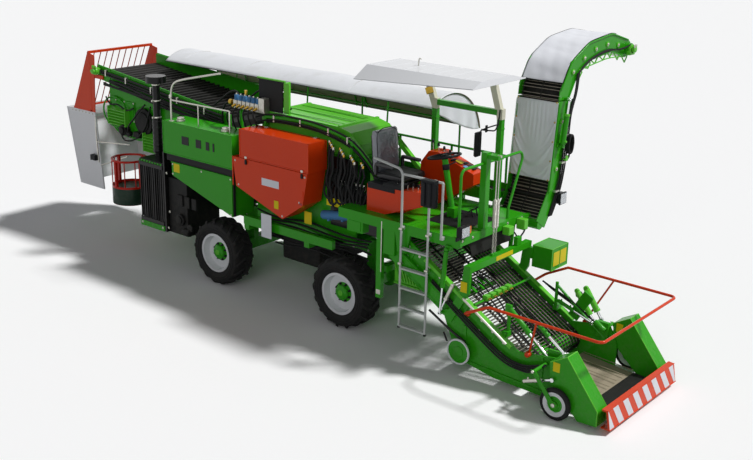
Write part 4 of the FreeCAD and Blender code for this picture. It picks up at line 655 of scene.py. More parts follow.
settle([disc(-3200, 2650, 398, 300, 58, 32, 6), disc(-3200, 2650, 304, 262, 42, 32, 6),
        block((-3262, 330, 2600), (-3138, 392, 2700), 10), post(-3230, 300, 2700, 2740, 18, 6, 2),
        post(-3170, 300, 2700, 2740, 18, 6, 2), bar((-3270, 330, 2640), (-3310, 330, 2640), 30, 24, 5)],
       "conveyor_motor", sunlit_lighter_green)
settle([block((x, 390, run_height(x) - 190), (x + 34, 402, run_height(x) + 56), 3)
        for x in (-450, -950, -1450, -1950, -2450, -2950)], "conveyor_wall_posts", green)

# ---------- fan housing
# The blower case is rolled sheet with a flanged rim, an inspection door and bright louvred
# guards. A motor and its pipes hang on the outside.
arc = [(-3098, 2150), (-3140, 1960), (-3090, 1820), (-2980, 1720), (-2850, 1665), (-2700, 1648),
       (-2540, 1652), (-2380, 1668), (-2250, 1690), (-2080, 1740), (-1930, 1800)]
settle(tubes([[(px, 500, pz) for px, pz in arc], [(px, 540, pz - 4) for px, pz in arc],
              [(-2960 + 300 * math.cos(i / 9), 484, 2010 + 240 * math.sin(i / 9)) for i in range(58)]],
             13), "fan_case_rim", green)
settle([block((-2960, 494, 1900), (-2480, 510, 2220), 10),
        block((-2936, 486, 1926), (-2504, 496, 2194), 6)], "fan_door", green)
for name, x0, z0 in (("upper", -3040, 1840), ("lower", -2180, 1530)):
    blades = [block((x0, 400, z0 + i * 46), (x0 + 420, 500, z0 + 12 + i * 46), 3, ("X", 24))
              for i in range(6)]
    blades += [block((x0 - 14, 396, z0 - 20), (x0 + 2, 504, z0 + 272), 4),
               block((x0 + 418, 396, z0 - 20), (x0 + 434, 504, z0 + 272), 4)]
    settle(blades, name + "_louvres", sunlit_lighter_green)
settle([disc(-2230, 1960, 500, 452, 210, 56, 10), disc(-2230, 1960, 456, 430, 150, 48, 8),
        disc(-2700, 1760, 500, 400, 88, 40, 8), disc(-2700, 1760, 404, 372, 60, 40, 6),
        disc(-2560, 1720, 470, 400, 44, 32, 6), block((-2440, 410, 1690), (-2300, 500, 1780), 10)],
       "blower_motor", cast_iron)
fan_runs = [[(-2700, 390, 1700), (-2640, 350, 1640), (-2480, 360, 1620), (-2300, 400, 1700),
             (-2120, 420, 1900), (-2040, 420, 2120), (-1960, 400, 2240)],
            [(-2560, 400, 1750), (-2500, 360, 1860), (-2360, 380, 2000), (-2200, 400, 2180),
             (-2080, 390, 2260)],
            [(-3120, 440, 2240), (-3000, 400, 2120), (-2800, 420, 2180), (-2600, 430, 2060),
             (-2420, 430, 2150)]]
settle(tubes(fan_runs, 13), "fan_hoses", hose_rubber)
settle(bolts([(x, 493, z) for x, z in ((-2940, 1916), (-2500, 1916), (-2940, 2204), (-2500, 2204),
                                       (-2720, 2204), (-2720, 1916))], (0, -1, 0), 8),
       "fan_door_screws", zinc)

# ---------- cage and apron
# The outlet cage is orange flat bar and rod. Under it hangs a white sheet-metal apron with a
# folded edge, a row of bolts and its bracket for the rear lamp.
settle([block((-3452, 362, 1962), (-3396, 378, 2920), 4),
        block((-3900, 362, 1958), (-3400, 378, 1990), 4)], "cage_flanges", orange)
paint(white_enamel, "rear_apron")
settle([tubes([[(-4076, y, 1950), (-3826, y, 704), (-3212, y, 704), (-3332, y, 1950)]], 9, False)
        for y in (366, 1622)], "apron_hem", white_enamel)
settle(bolts([(-3400 - i * 90, 365, 1926) for i in range(7)], (0, -1, 0), 8), "apron_bolts", zinc)
settle([tubes([[(-3330, 362, 1900), (-3330, 350, 1500), (-3290, 350, 1140)]], 11),
        bar((-3240, 350, 1100), (-2560, 380, 1360), 11, 16, 2),
        bar((-3320, 352, 1480), (-2500, 390, 1560), 10, 16, 2)], "apron_struts", zinc)

# ---------- basket
# A round tub of dark enamelled steel hangs in a red hoop frame of flat bar. It holds a crate
# and small tools on the field.
red = painted_steel("red_enamel", "c8200f", "ab160a", rough=0.28)
dark_green = painted_steel("dark_enamel", "1f3a2b", "14261c", rough=0.35)
cx, cy = -2290, 200
paint(red, "rear_basket")
settle([post(cx, cy, 722, 982, 281.5, 64, 4)], "basket_tub", dark_green)
posts = []
for angle in (math.radians(200 + index * 35) for index in range(5)):
    px, py = cx + 268 * math.cos(angle), cy + 268 * math.sin(angle)
    posts.append(post(px, py, 990, 1420, 9, 12, 1))
settle(posts, "basket_posts", red)

# ---------- driver's deck
# The deck plate is green enamel with pressed anti-slip beads. A ribbed rubber mat lies under
# the pedals, and the plate's front lip and brackets are bolted.
bead_pitch = 88, 62
settle([block((3280 + column * bead_pitch[0], -150 + row * bead_pitch[1], 1699),
              (3326 + column * bead_pitch[0], -140 + row * bead_pitch[1], 1704), 2,
              ("Z", 45 if (row + column) % 2 else -45)) for row in range(4) for column in range(11)],
       "deck_tread", green)
mat = [block((3560, 120, 1700.5), (4180, 760, 1706), 2)]
mat += [block((3576 + i * 24, 132, 1705), (3586 + i * 24, 748, 1710), 2) for i in range(25)]
settle(mat, "pedal_mat", hose_rubber)
settle(bolts([(4301, y, 1662) for y in (-150, 60, 560, 800, 1120)], (1, 0, 0), 10), "deck_lip_bolts",
       zinc)
pedals = []
for y in (330, 560, 660):
    pedals += [block((3860, y, 1790), (3960, y + 62, 1800), 3, ("Y", -38)),
               bar((3930, y + 31, 1700), (3905, y + 31, 1786), 9, 12, 1)]
    pedals += [block((3868 + i * 16, y + 4, 1802), (3876 + i * 16, y + 58, 1806), 1, ("Y", -38))
               for i in range(5)]
settle(pedals, "pedals", black_enamel)
under = [[(2500 + i * 24, 20, 1600 - i * 16), (2900, -20 + i * 14, 1560 - i * 20),
          (3300 + i * 30, 40, 1590 - i * 24), (3560, 160 + i * 20, 1520 - i * 30),
          (3900, 300 + i * 24, 1560 - i * 20)] for i in range(5)]
settle(tubes(under, 12), "deck_hoses", hose_rubber)
settle([block((2560, -186, 1420), (2820, -60, 1600), 8),
        block((2590, -196, 1450), (2790, -184, 1570), 4),
        block((3150, -186, 1250), (3330, -80, 1600), 8)], "deck_lockers", green)
settle([block((3120, -194, 1000), (3134, -186, 1660), 3),
        block((3060, -196, 700), (3126, -186, 760), 3)], "post_straps", zinc)

# ---------- balance springs
# Two extension springs wound from 10 mm wire carry part of the head. Their hooks and links are
# plated, and short chains run on down to the head's portal.
# The wire makes 30 turns, drawn with ten places each.
turns, wire = 30, 5.2
spring_coils = [[(4410 + 21.5 * math.cos(math.tau * i / 10), y + 21.5 * math.sin(math.tau * i / 10),
                  1742 + 336 * i / (10 * turns)) for i in range(10 * turns + 1)] for y in (328, 384)]
links = [tubes(spring_coils, wire, True, 2)]
for y in (330, 382):
    links += [post(4410, y, low, high, *size)
              for low, high, *size in ((2070, 2560, 7, 16), (1690, 1745, 8, 16),
                                       (2060, 2092, 15, 20, 4), (1732, 1752, 15, 20, 4))]
springs = settle(links, "balance_springs", zinc)
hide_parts("counter_springs")
shackles = [block((4396, y - 20, 2548), (4424, y + 20, 2572), 4) for y in (330, 382)]
shackles += [bar((4392, 356, 2600), (4446, 356, 2600), 16, 24, 3)]
settle(shackles, "spring_shackles", zinc)

# ---------- ladder
# Round stiles and flat rungs in silver enamel. Each rung has a punched tread plate. Clamps hold
# the stiles to the deck, and rubber feet close their lower ends.
silver = painted_steel("silver_enamel", "ccd0cd", "b9bdba", rough=0.35)
paint(silver, "ladder")
treads = []
for rung in range(5):
    z = 405 + rung * 250
    treads.append(block((3486, -268, z + 11), (3854, -208, z + 16), 2))
    treads += [post(3512 + i * 35, y, z + 15, z + 20, 10, 16, 1, 6) for i in range(10)
               for y in (-252, -224)]
settle(treads, "ladder_treads", silver)
settle([block((x - 24, -262, z), (x + 24, -214, z + 26), 4) for x in (3470, 3870)
        for z in (1640, 1200)], "ladder_clamps", zinc)
settle([post(x, -238, 372, 396, 19, 20, 4) for x in (3470, 3870)], "ladder_feet", hose_rubber)

# A black plastic bin for tools hangs on the ladder's front hand hold, with two upright ribs
# and a rolled rim.
plastic = painted_steel("black_moulded_plastic", "16181c", "0f1114", rough=0.42, coat=0.0)
bin_parts = [block((3800, -330, 2020), (4010, -245, 2340), 22),
             block((3806, -338, 2324), (4004, -243, 2350), 9)]
bin_parts += [block((x, -348, 2040), (x + 40, -320, 2318), 12) for x in (3840, 3924)]
settle(bin_parts, "tool_bin", plastic)
settle([block((3850, -250, 2300), (3890, -226, 2330), 4),
        block((3930, -250, 2300), (3970, -226, 2350), 4)], "bin_hooks", zinc)

# ---------- driver's seat
# A suspension seat: black vinyl over moulded foam, with welted seams and pleats. The cushion
# is swelled by pressure as foam fills its cover. The backrest still wears its clear film.
def vinyl(name, colour, shade, rough, grain=900, film=0.0):
    """Grained upholstery vinyl with a fine leather-like emboss."""
    made, tree, place = new_material(name)
    clouds = add(tree, "TexNoise", {"Scale": 7, "Detail": 4, "Vector": place})
    tone = add(tree, "Mix", {"data_type": "RGBA", 6: linear(colour), 7: linear(shade),
                             "Factor": clouds.outputs["Fac"]})
    grains = add(tree, "TexVoronoi", {"Scale": grain, "Vector": place})
    emboss = add(tree, "Bump", {"Strength": 0.18, "Distance": 0.0006,
                                "Height": grains.outputs["Distance"]})
    # Loose film and stretched cover wrinkle over a few centimetres.
    creases = add(tree, "TexNoise", {"Scale": 11, "Detail": 3, "Distortion": 1.4, "Vector": place})
    wrinkle = add(tree, "Bump", {"Strength": 0.25 + film, "Distance": 0.012,
                                 "Height": creases.outputs["Fac"], "Normal": emboss.outputs["Normal"]})
    finish_material(tree, {"Roughness": rough, "Coat Weight": film, "Coat Roughness": 0.06,
                           "Base Color": tone.outputs[2], "Normal": wrinkle.outputs["Normal"]})
    return made


seat_vinyl = vinyl("black_seat_vinyl", "1b1c1f", "121316", 0.4)
film_vinyl = vinyl("film_covered_vinyl", "8f939c", "5c6069", 0.14, 500, 0.6)


def pad(outline, crowned, y0, y1):
    """A closed pad lofted across Y, level or crowned. The outline is (x, z) points round its section."""
    count, steps = len(outline), 26
    cx, cz = (sum(values) / count for values in zip(*outline))
    points = []
    for step in range(steps + 1):
        share = step / steps
        # The section shrinks towards the side seams as foam rounds off.
        pull = 1 - 0.32 * abs(2 * share - 1) ** 7 - 0.04 * abs(2 * share - 1) ** 2
        y = y0 + (y1 - y0) * (0.5 - 0.5 * math.cos(math.pi * share))
        points += [spot(*Vector((cx + (x - cx) * (0.9 + 0.1 * pull), y,
                                 cz + (z - cz) * (pull if crowned else 1)))) for x, z in outline]
    faces = [(r * count + c, r * count + (c + 1) % count, (r + 1) * count + (c + 1) % count,
              (r + 1) * count + c) for r in range(steps) for c in range(count)]
    faces += [tuple(range(count - 1, -1, -1)), tuple(steps * count + c for c in range(count))]
    return facing_out(from_mesh(points, faces))


def run_cloth(piece, cloth, frames):
    """Runs a cloth simulation and keeps the shape of its last frame."""
    cloth.point_cache.frame_start, cloth.point_cache.frame_end = 1, frames
    for frame_number in range(1, frames + 1):
        bpy.context.scene.frame_set(frame_number)
    applied(piece, cloth)
    bpy.context.scene.frame_set(1)


def swell(piece, cap):
    """Foam under its cover: the closed shape is blown up a little, by no more than cap, and its
    surface settles."""
    remesh = piece.modifiers.new("remesh", "REMESH")
    remesh.mode, remesh.voxel_size = "VOXEL", 0.011
    applied(piece, remesh)
    before = [v.co.copy() for v in piece.data.vertices]
    cloth = piece.modifiers.new("cloth", "CLOTH")
    cloth.settings.effector_weights.gravity = 0
    cloth.settings.use_pressure = True
    cloth.settings.uniform_pressure_force = 3
    cloth.settings.quality = 5
    run_cloth(piece, cloth, 16)
    for vertex, start in zip(piece.data.vertices, before):
        move = vertex.co - start
        if move.length > cap:
            vertex.co = start + move.normalized() * cap
    smooth = piece.modifiers.new("smooth", "SMOOTH")
    smooth.factor, smooth.iterations = 0.5, 3
    applied(piece, smooth)
    hold(piece)
    bpy.ops.object.shade_smooth()
    return piece


cushion_section, roundness = [], 2 / 3.4
for index in range(40):
    c, s = math.cos(math.tau * index / 40), math.sin(math.tau * index / 40)
    cushion_section.append((2983 + 223 * math.copysign(abs(c) ** roundness, c), 2115
                            + 41 * math.copysign(abs(s) ** roundness, s)))
cushion = settle(swell(pad(cushion_section, True, 112, 588), 0.012), "seat_cushion", seat_vinyl)
back_section = [(2706, 2120), (2740, 2116), (2776, 2126), (2782, 2200), (2776, 2290), (2766, 2400),
                (2754, 2520), (2742, 2610), (2728, 2658), (2700, 2672), (2672, 2660), (2662, 2600),
                (2668, 2480), (2680, 2360), (2690, 2240), (2698, 2160)]
backrest = settle(swell(pad(back_section, False, 128, 572), 0.01), "seat_backrest", film_vinyl)
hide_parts("driver_seat")
welts = [[(2762, 120, 2150), (2990, 118, 2160), (3190, 124, 2150), (3206, 200, 2146), (3208, 350, 2148),
          (3206, 500, 2146), (3190, 576, 2150), (2990, 582, 2160), (2762, 580, 2150)],
         [(2784, 140, 2150), (2782, 132, 2300), (2764, 134, 2480), (2740, 150, 2630), (2726, 250, 2672),
          (2722, 350, 2678), (2726, 450, 2672), (2740, 550, 2630), (2764, 566, 2480), (2782, 568, 2300),
          (2784, 560, 2150)]]
settle(tubes(welts, 5), "seat_welts", hose_rubber)
settle([block((2660, 150, 2130), (2690, 550, 2600), 14, ("Y", -4)),
        block((2700, 140, 2040), (3190, 560, 2072), 12)], "seat_shell", plastic)
settle([block((2800 + i % 2 * 10, 180 + i % 2 * 10, 1963 + i * 13),
              (3140 - i % 2 * 10, 520 - i % 2 * 10, 1976 + i * 13), 5) for i in range(6)],
       "seat_bellows", hose_rubber)
arm = []
for y in (60, 588):
    arm += [block((2780, y, 2245), (3080, y + 52, 2290), 16),
            block((2770, y + 6, 2130), (2810, y + 46, 2260), 8)]
settle(arm, "seat_armrests", seat_vinyl)
settle([block((2780, y, 1960), (3170, y + 26, 1972), 3) for y in (190, 484)], "seat_runners", zinc)

# ---------- consoles
# Levers with black knobs, round gauges, switches and blank films stand on the orange consoles.
# The seat box carries a plain white film, and a black cover lies over the right-hand console.
sticks, knobs = [], []
for x, z in ((3080, 2364), (3170, 2334), (3260, 2304), (3350, 2274)):
    sticks.append(bar((x, 880, z), (x - 10, 880, z + 96), 6, 12))
    knobs.append(bar((x - 9, 880, z + 86), (x - 14, 880, z + 130), 19, 20, 7, 13))
for x in range(3180, 3501, 80):
    sticks.append(bar((x, 30, 2050), (x + 6, 30, 2120), 5, 12))
    knobs.append(bar((x + 6, 30, 2112), (x + 8, 30, 2150), 15, 20, 6, 10))
settle(sticks, "lever_sticks", zinc)
gauges = [bar((x, 810, z), (x - 8, 810, z + 24), 38, 32, 4) for x, z in ((3330, 2330), (3450, 2290))]
gauges += [block((x, 860, z), (x + 34, 940, z + 14), 4, ("Y", 20))
           for x, z in ((3560, 2262), (3630, 2236), (3690, 2214))]
settle(knobs + gauges, "console_knobs_and_gauges", plastic)
films = [block((3300, y, 2338), (3420, y + 60, 2345), 1, ("Y", 17)) for y in (798, 930)]
films.append(block((2880, 116, 1760), (3030, 121.5, 1850), 1))
settle(films, "console_white_films", label_white)
settle([block((3480, 800, 2286), (3570, 880, 2292), 1, ("Y", 18)),
        block((2800, 116, 1880), (2860, 121.5, 1930), 1)], "console_yellow_films", label_yellow)
label_blue = painted_steel("blue_label_film", "7fa8d8", "6f98c8", rough=0.4, coat=0.0)
settle(block((3600, 795, 2236), (3680, 860, 2243), 1, ("Y", 18)), "console_blue_films", label_blue)
cover = joined([block((2765, -47, 2034), (3030, 136, 2062), 12),
                block((3010, -48, 2040), (3300, 136, 2100), 14, ("Y", -2)),
                block((2770, -48, 1990), (3200, -38, 2050), 6)])
settle(cover, "right_console_cover", plastic)
settle([tubes([[(2764, -44, 1704), (3056, -44, 1704), (3596, -44, 1902), (3598, -44, 2076)]], 5, False),
        tubes([[(2962, 782, 1704), (3258, 782, 1704), (3776, 782, 2040), (3778, 782, 2176),
                (3232, 782, 2366), (3082, 782, 2356)]], 5, False)], "console_folds", orange)
settle(bolts([(2800, 119, 1740), (2800, 119, 1920), (3150, 119, 1740), (3150, 119, 1920)], (0, -1, 0),
             8), "seat_box_screws", zinc)

# ---------- steering wheel
# Black moulded grip and spokes with a horn button. The column stands in a folded rubber boot,
# and a short stalk sticks out below the wheel.
paint(plastic, "steering_wheel")
foot, head = Vector((3730, 450, 1700)), Vector((3575, 450, 2400))
lean = (head - foot).normalized()
settle(bar(head + lean * 50, head + lean * 64, 26, 32, 5), "horn_button", black_enamel, "steering_wheel")
settle([bar(foot + lean * (4 + i * 20), foot + lean * (22 + i * 20), 62 - i * 5, 32, 6)
        for i in range(5)], "column_boot", hose_rubber)
settle([bar(head - lean * 90, head - lean * 90 + Vector((20, 170, 30)), 7, 12, 1),
        bar(head - lean * 130, head - lean * 60, 44, 32, 6)], "column_stalk", plastic)

# ---------- work lamps and mirrors
# Black plastic shells with a chromed reflector behind fluted glass. The mirror hangs on bent
# black tubes from the roof post.
# Flutes 6 mm apart spread the beam.
lamp_glass, tree, place = new_material("fluted_lamp_glass")
flutes = add(tree, "TexWave", {"Scale": 50, "bands_direction": "Y", "Vector": place})
bump = add(tree, "Bump", {"Strength": 0.4, "Distance": 0.002, "Height": flutes.outputs["Fac"]})
finish_material(tree, {"Base Color": linear("f2f5f8"), "Roughness": 0.04, "IOR": 1.5,
                       "Transmission Weight": 0.85, "Normal": bump.outputs["Normal"]})
amber = painted_steel("amber_lens", "e8780a", "d86a06", rough=0.12, coat=0.6)
red_lens = painted_steel("red_lens", "b3120c", "9a0d08", rough=0.12, coat=0.6)
shells, lenses, reflectors = [], [], []
for x0, x1, y0, y1, z0, z1 in ((4302, 4393, -298, -132, 1737, 1873), (4412, 4508, 1692, 1848, 1732, 1888)):
    shells += [block((x0, y0 + 8, z0 + 8), (x1 - 26, y1 - 8, z1 - 8), 16),
               block((x1 - 34, y0, z0), (x1 - 6, y1, z1), 9)]
    reflectors.append(block((x1 - 9, y0 + 12, z0 + 12), (x1 - 4, y1 - 12, z1 - 12), 3))
    lenses.append(block((x1 - 5, y0 + 9, z0 + 9), (x1, y1 - 9, z1 - 9), 3))
shells += [block((-3415, 277, 1175), (-3295, 352, 1265), 14),
           block((-3418, 275, 1172), (-3402, 362, 1268), 6),
           block((4302, -296, 1692), (4318, -134, 1740), 4)]
reflectors.append(block((-3413, 284, 1182), (-3406, 352, 1258), 3))
lenses.append(block((-3419, 282, 1180), (-3412, 354, 1260), 3))
lamp_shells = settle(shells, "work_lamp_shells", plastic)
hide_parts("lamps")
settle(reflectors, "lamp_reflectors", chrome)
settle(lenses, "lamp_glasses", lamp_glass)
settle([block((4304, -118, 1752), (4350, -58, 1850), 10)], "turn_lamp_body", plastic)
settle([block((4346, -114, 1756), (4362, -62, 1846), 8)], "turn_lamp_lens", amber)
settle([block((1700, -156, 1560), (1760, -148, 1590), 4)], "side_lamp_lens", red_lens)

settle(tubes([[(3900, 1110, 2960), (3900, 1090, 2700), (3790, 1060, 2690), (3700, 1040, 2690)],
              [(3700, 1040, 2700), (3690, 1020, 2680), (3672, 1010, 2560), (3668, 1004, 2400)],
              [(3900, 1100, 2780), (3790, 1060, 2740), (3700, 1040, 2690)]], 9), "mirror_bracket",
       black_enamel)
settle([block((3640, 955, 2345), (3684, 1075, 2665), 20),
        block((3706, 1090, 2650), (3724, 1130, 2740), 6)], "mirror_shell", plastic)
settle([block((3634, 966, 2358), (3642, 1064, 2652), 3)], "mirror_glass", chrome)

# ---------- driver's roof
# The roof is a moulding in white gel coat with sloping skirts and a beige liner. Its two posts
# stand on bolted feet, and their tops and arms are painted cream.
cream = painted_steel("cream_enamel", "e4e2cf", "d8d5c0", rough=0.3)
beige_liner = painted_steel("beige_liner", "b9ad97", "a89c86", rough=0.7, coat=0.0)
paint(white_enamel, "driver_roof")
settle(tubes([[(2408, 88, 3280), (4182, 88, 3381), (4182, 1192, 3381), (2408, 1192, 3280),
               (2408, 88, 3280)]], 7, False), "roof_hem", white_enamel)
settle(block((2500, 300, 3410), (4120, 890, 3423), 4), "roof_liner", beige_liner)
settle([block((2540 + i * 230, 300, 3442), (2552 + i * 230, 890, 3449), 3) for i in range(7)],
       "roof_ribs", white_enamel)
settle(bolts([(x + 30, y, z) for x, z in ((2710, 3253), (3730, 3311)) for y in (520, 700, 1000)],
             (0, 0, -1), 9), "roof_bolts", zinc)
sleeves = [block((x - 5, 1125, 2700), (x + 75, 1205, 2726), 4) for x in (2850, 3850)]
sleeves += [block((x - 8, 1122, 1700), (x + 78, 1208, 1716), 4) for x in (2850, 3850)]
settle(sleeves, "roof_post_collars", green)
settle(bolts([(x, y, 1716) for x in (2835, 2935, 3835, 3935) for y in (1115, 1215)], (0, 0, 1), 8),
       "roof_foot_bolts", zinc)
arms = [block((x - 5, 1126, 2830), (x + 75, 1204, 2966), 5) for x in (2850, 3850)]
for foot, top in (((2880, 2870), (2710, 3274)), ((3880, 2870), (3730, 3332))):
    long = math.dist(foot, top)
    lean = math.degrees(math.atan2(top[1] - foot[1], top[0] - foot[0]))
    x, z = (foot[0] + top[0]) / 2, (foot[1] + top[1]) / 2
    arms.append(block((x - long / 2, 1131, z - 43), (x + long / 2, 1199, z + 43), 4, ("Y", -lean)))
settle(arms, "roof_post_tops", cream)
settle([block((2690, 1118, 3160), (2800, 1130, 3250), 6, ("Y", -22)),
        block((2740, 1118, 3010), (2860, 1130, 3100), 6, ("Y", -22))], "roof_arm_straps", brass)
settle(tubes([[(2980, 640, 3446), (2980, 640, 3520), (3000, 640, 3545), (3020, 640, 3530)]], 8),
       "roof_lifting_hook", zinc)

# ---------- sorting table and walkway
# The sorting belt is smooth grey rubber with small cleats, between walls stiffened by posts.
# Waste chutes hang on the left side, where stools stand on the walkway's grating.
belt_grey = rubber("sorting_belt", "3a3c3c", "6a665c", 0.35, 0.5, 160)
cleats = [block((x, 1244, 1819), (x + 10, 1586, 1834), 3) for x in range(-1460, 3616, 175)]
cleats.append(block((-1470, 1243, 1818), (3764, 1587, 1823), 2))
settle(cleats, "sorting_belt_cleats", belt_grey)
settle([block((x, y, 1716), (x + 40, y + 8, 1898), 3) for y in (1221, 1601)
        for x in range(-1400, 3700, 500)], "sorting_wall_posts", green)
grate = [block((x, 1660, 1069), (x + 8, 2290, 1075), 1) for x in range(-1380, 3181, 95)]
grate += [block((-1395, y, 1069), (3290, y + 6, 1074), 1) for y in range(1690, 2266, 115)]
settle(grate, "walkway_grating", green)
settle(bolts([(x, 1609, 1760) for x in range(-1300, 3700, 500)], (0, 1, 0), 8), "sorting_wall_bolts",
       zinc)
settle([block((x, 1612, 1500), (x + 260, 1624, 1736), 6, ("X", -12)) for x in (-1000, 0, 1000, 2000)],
       "waste_chutes", green)
stool_places, stools = (-900, 200, 1300, 2400), []
for x in stool_places:
    stools += [post(x, 2060, 1071, 1430, 20, 20, 2), post(x, 2060, 1071, 1079, 110, 32, 3)]
settle(stools, "stool_posts", green)
settle([post(x, 2060, 1430, 1480, 165, 40, 18) for x in stool_places], "stool_seats", seat_vinyl)

# ---------- sun cover
# One long sheet of white coated polyester is stretched over the hoops. Its downward faces are
# painted beige as painted shade. It dips a little between them, and a black cord is sewn into its hem.
def coated_cloth(name, colour, under, rough=0.5, dirt="b9b7ae"):
    """PVC-coated tarpaulin: the weave shows through the coating as a fine square relief."""
    made, tree, place = new_material(name)
    # Faces that point down take the under colour. Where it is darker than the colour, it is painted shade.
    side = add(tree, "SeparateXYZ", {"Vector": add(tree, "NewGeometry").outputs["Normal"]})
    not_facing_down = add(tree, "Math", {"operation": "GREATER_THAN", 1: -0.02, 0: side.outputs["Z"]})
    face = add(tree, "Mix", {"data_type": "RGBA", 6: linear(under), 7: linear(colour),
                             "Factor": not_facing_down.outputs[0]})
    stains = add(tree, "TexNoise", {"Scale": 3.5, "Detail": 6, "Roughness": 0.6, "Vector": place})
    amount = add(tree, "MapRange", {"From Min": 0.5, "From Max": 0.85, "To Max": 0.3,
                                    "Value": stains.outputs["Fac"]})
    tone = add(tree, "Mix", {"data_type": "RGBA", 7: linear(dirt), "Factor": amount.outputs["Result"],
                             6: face.outputs[2]})
    # Threads are 2 mm apart both ways.
    warp = add(tree, "TexWave", {"Scale": 160, "bands_direction": "X", "Vector": place})
    weft = add(tree, "TexWave", {"Scale": 160, "bands_direction": "Z", "Vector": place})
    weave = add(tree, "Math", {"operation": "MULTIPLY", 0: warp.outputs["Fac"], 1: weft.outputs["Fac"]})
    fine = add(tree, "Bump", {"Strength": 0.12, "Distance": 0.0008, "Height": weave.outputs[0]})
    # Handling creases are 3 to 20 cm long.
    folds = add(tree, "TexNoise", {"Scale": 5, "Detail": 3, "Distortion": 0.8, "Vector": place})
    bump = add(tree, "Bump", {"Strength": 0.18, "Distance": 0.02, "Height": folds.outputs["Fac"],
                              "Normal": fine.outputs["Normal"]})
    finish_material(tree, {"Roughness": rough, "Sheen Weight": 0.15, "Base Color": tone.outputs[2],
                           "Normal": bump.outputs["Normal"]})
    return made


def cloth_grid(places):
    """A sheet from rows of places."""
    wide = len(places[0])
    piece = from_mesh([spot(*p) for row in places for p in row],
                      [(r * wide + c, r * wide + c + 1, (r + 1) * wide + c + 1, (r + 1) * wide + c)
                       for r in range(len(places) - 1) for c in range(wide - 1)])
    bpy.ops.object.shade_smooth()
    return piece


def thickened(piece, thickness):
    """Gives a sheet its thickness, half of it on each side."""
    solid = piece.modifiers.new("cloth", "SOLIDIFY")
    solid.thickness, solid.offset = thickness / 1000, 0
    return applied(piece, solid)


# Its beige under colour is painted shade on the sheet's underside.
cover_cloth = coated_cloth("white_cover_cloth", "eceef2", "a99c84")
hoops = (-2575, -1900, -1300, -1200, 500, 700, 1990, 2500, 2725)
# The arch passes through its three given points.
(ay, az), (by, bz), (cy, cz) = (1255, 2785), (1700, 2935), (2400, 2345)
turn = 2 * (ay * (bz - cz) + by * (cz - az) + cy * (az - bz))
mid_y = ((ay ** 2 + az ** 2) * (bz - cz) + (by ** 2 + bz ** 2) * (cz - az)
         + (cy ** 2 + cz ** 2) * (az - bz)) / turn
mid_z = ((ay ** 2 + az ** 2) * (cy - by) + (by ** 2 + bz ** 2) * (ay - cy)
         + (cy ** 2 + cz ** 2) * (by - ay)) / turn
arch_radius = math.hypot(ay - mid_y, az - mid_z)
first = math.atan2(az - mid_z, ay - mid_y)
last = math.atan2(cz - mid_z, cy - mid_y)


def on_arch(x, share, inset):
    """A place on the arch of the hoops: a share of the way round it, and inset from it."""
    angle = first + (last - first) * share
    r = arch_radius - inset
    return (x, mid_y + r * math.cos(angle), mid_z + r * math.sin(angle))


rows, columns, around = [], 224, 30
for i in range(columns + 1):
    x = -2610 + 5370 * i / columns
    before = max([h for h in hoops if h <= x], default=None)
    after = min([h for h in hoops if h > x], default=None)
    dip = 0.0
    if before is not None and after is not None:
        share = (x - before) / (after - before)
        dip = min((after - before) / 110, 13) * 4 * share * (1 - share)
    # The hem is held by its cord, so the sheet dips most in the middle of its width.
    rows.append([on_arch(x, j / around, 3 + dip * math.sin(math.pi * j / around) ** 0.6)
                 for j in range(around, -1, -1)])
cover = thickened(cloth_grid(rows), 2)
settle(cover, "sun_cover", cover_cloth)
hems = [[on_arch(x, end, 5) for x in range(-2604, 2760, 149)] for end in (0, 1)]
cover_hem = settle(tubes(hems, 6), "sun_cover_cord", black_enamel)
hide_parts("sorter_canopy")
settle(tubes([[(x, y, z - 3) for x, y, z in (on_arch(at, j / 24, 2) for j in range(1, 24))]
              for at in (-2240, -890, 1245)], 2.5), "sun_cover_seams", cover_cloth)

# A white flap closes the cover's front end. It is laced to the last hoop, and its lower edge
# hangs a little loose.
white_cloth = coated_cloth("white_tarpaulin", "f2f4fa", "f2f4fa", 0.45, "d2d6df")
rows = []
for share in (i / 14 for i in range(15)):
    row = []
    for j in range(around + 1):
        _, y, top = on_arch(0, j / around, 22)
        bow = math.sin(math.pi * j / around)
        chord = 2775 + (y - ay) * (cz - az) / (cy - ay) - 60 * bow
        sway = (9 * math.sin(j * 0.9) - 16 * bow) * share
        row.append((2742 + sway, y, top + (min(chord, top - 4) - top) * share))
    rows.append(row)
flap = thickened(cloth_grid(rows), 2)
settle(flap, "cover_end_flap", white_cloth)

# ---------- discharge elevator
# A chain of steel rods with rubber side belts runs up the trough and over the neck. Flights
# stand on it every 330 mm, and dark wear rubber lines the pan.
foot_yz, bend_yz, joint_yz = Vector((1400, 1530)), Vector((1650, 1900)), Vector((1760, 3050))
rise = (joint_yz - bend_yz).normalized()
neck_path = [joint_yz + rise * 12, joint_yz + rise * 90, Vector((1950, 3430)), Vector((2330, 3610)),
             Vector((2880, 3665)), Vector((3330, 3545))]


def walk(points, step, offset):
    """Places (y, z) a step apart along a path, each shifted to the path's open side."""
    made, left_over = [], 0.0
    for a, b in zip(points, points[1:]):
        run = b - a
        way, side = run.normalized(), Vector((-run.y, run.x)).normalized()
        at = left_over
        while at <= run.length:
            made.append(a + way * at + side * offset)
            at += step
        left_over = at - run.length
    return made


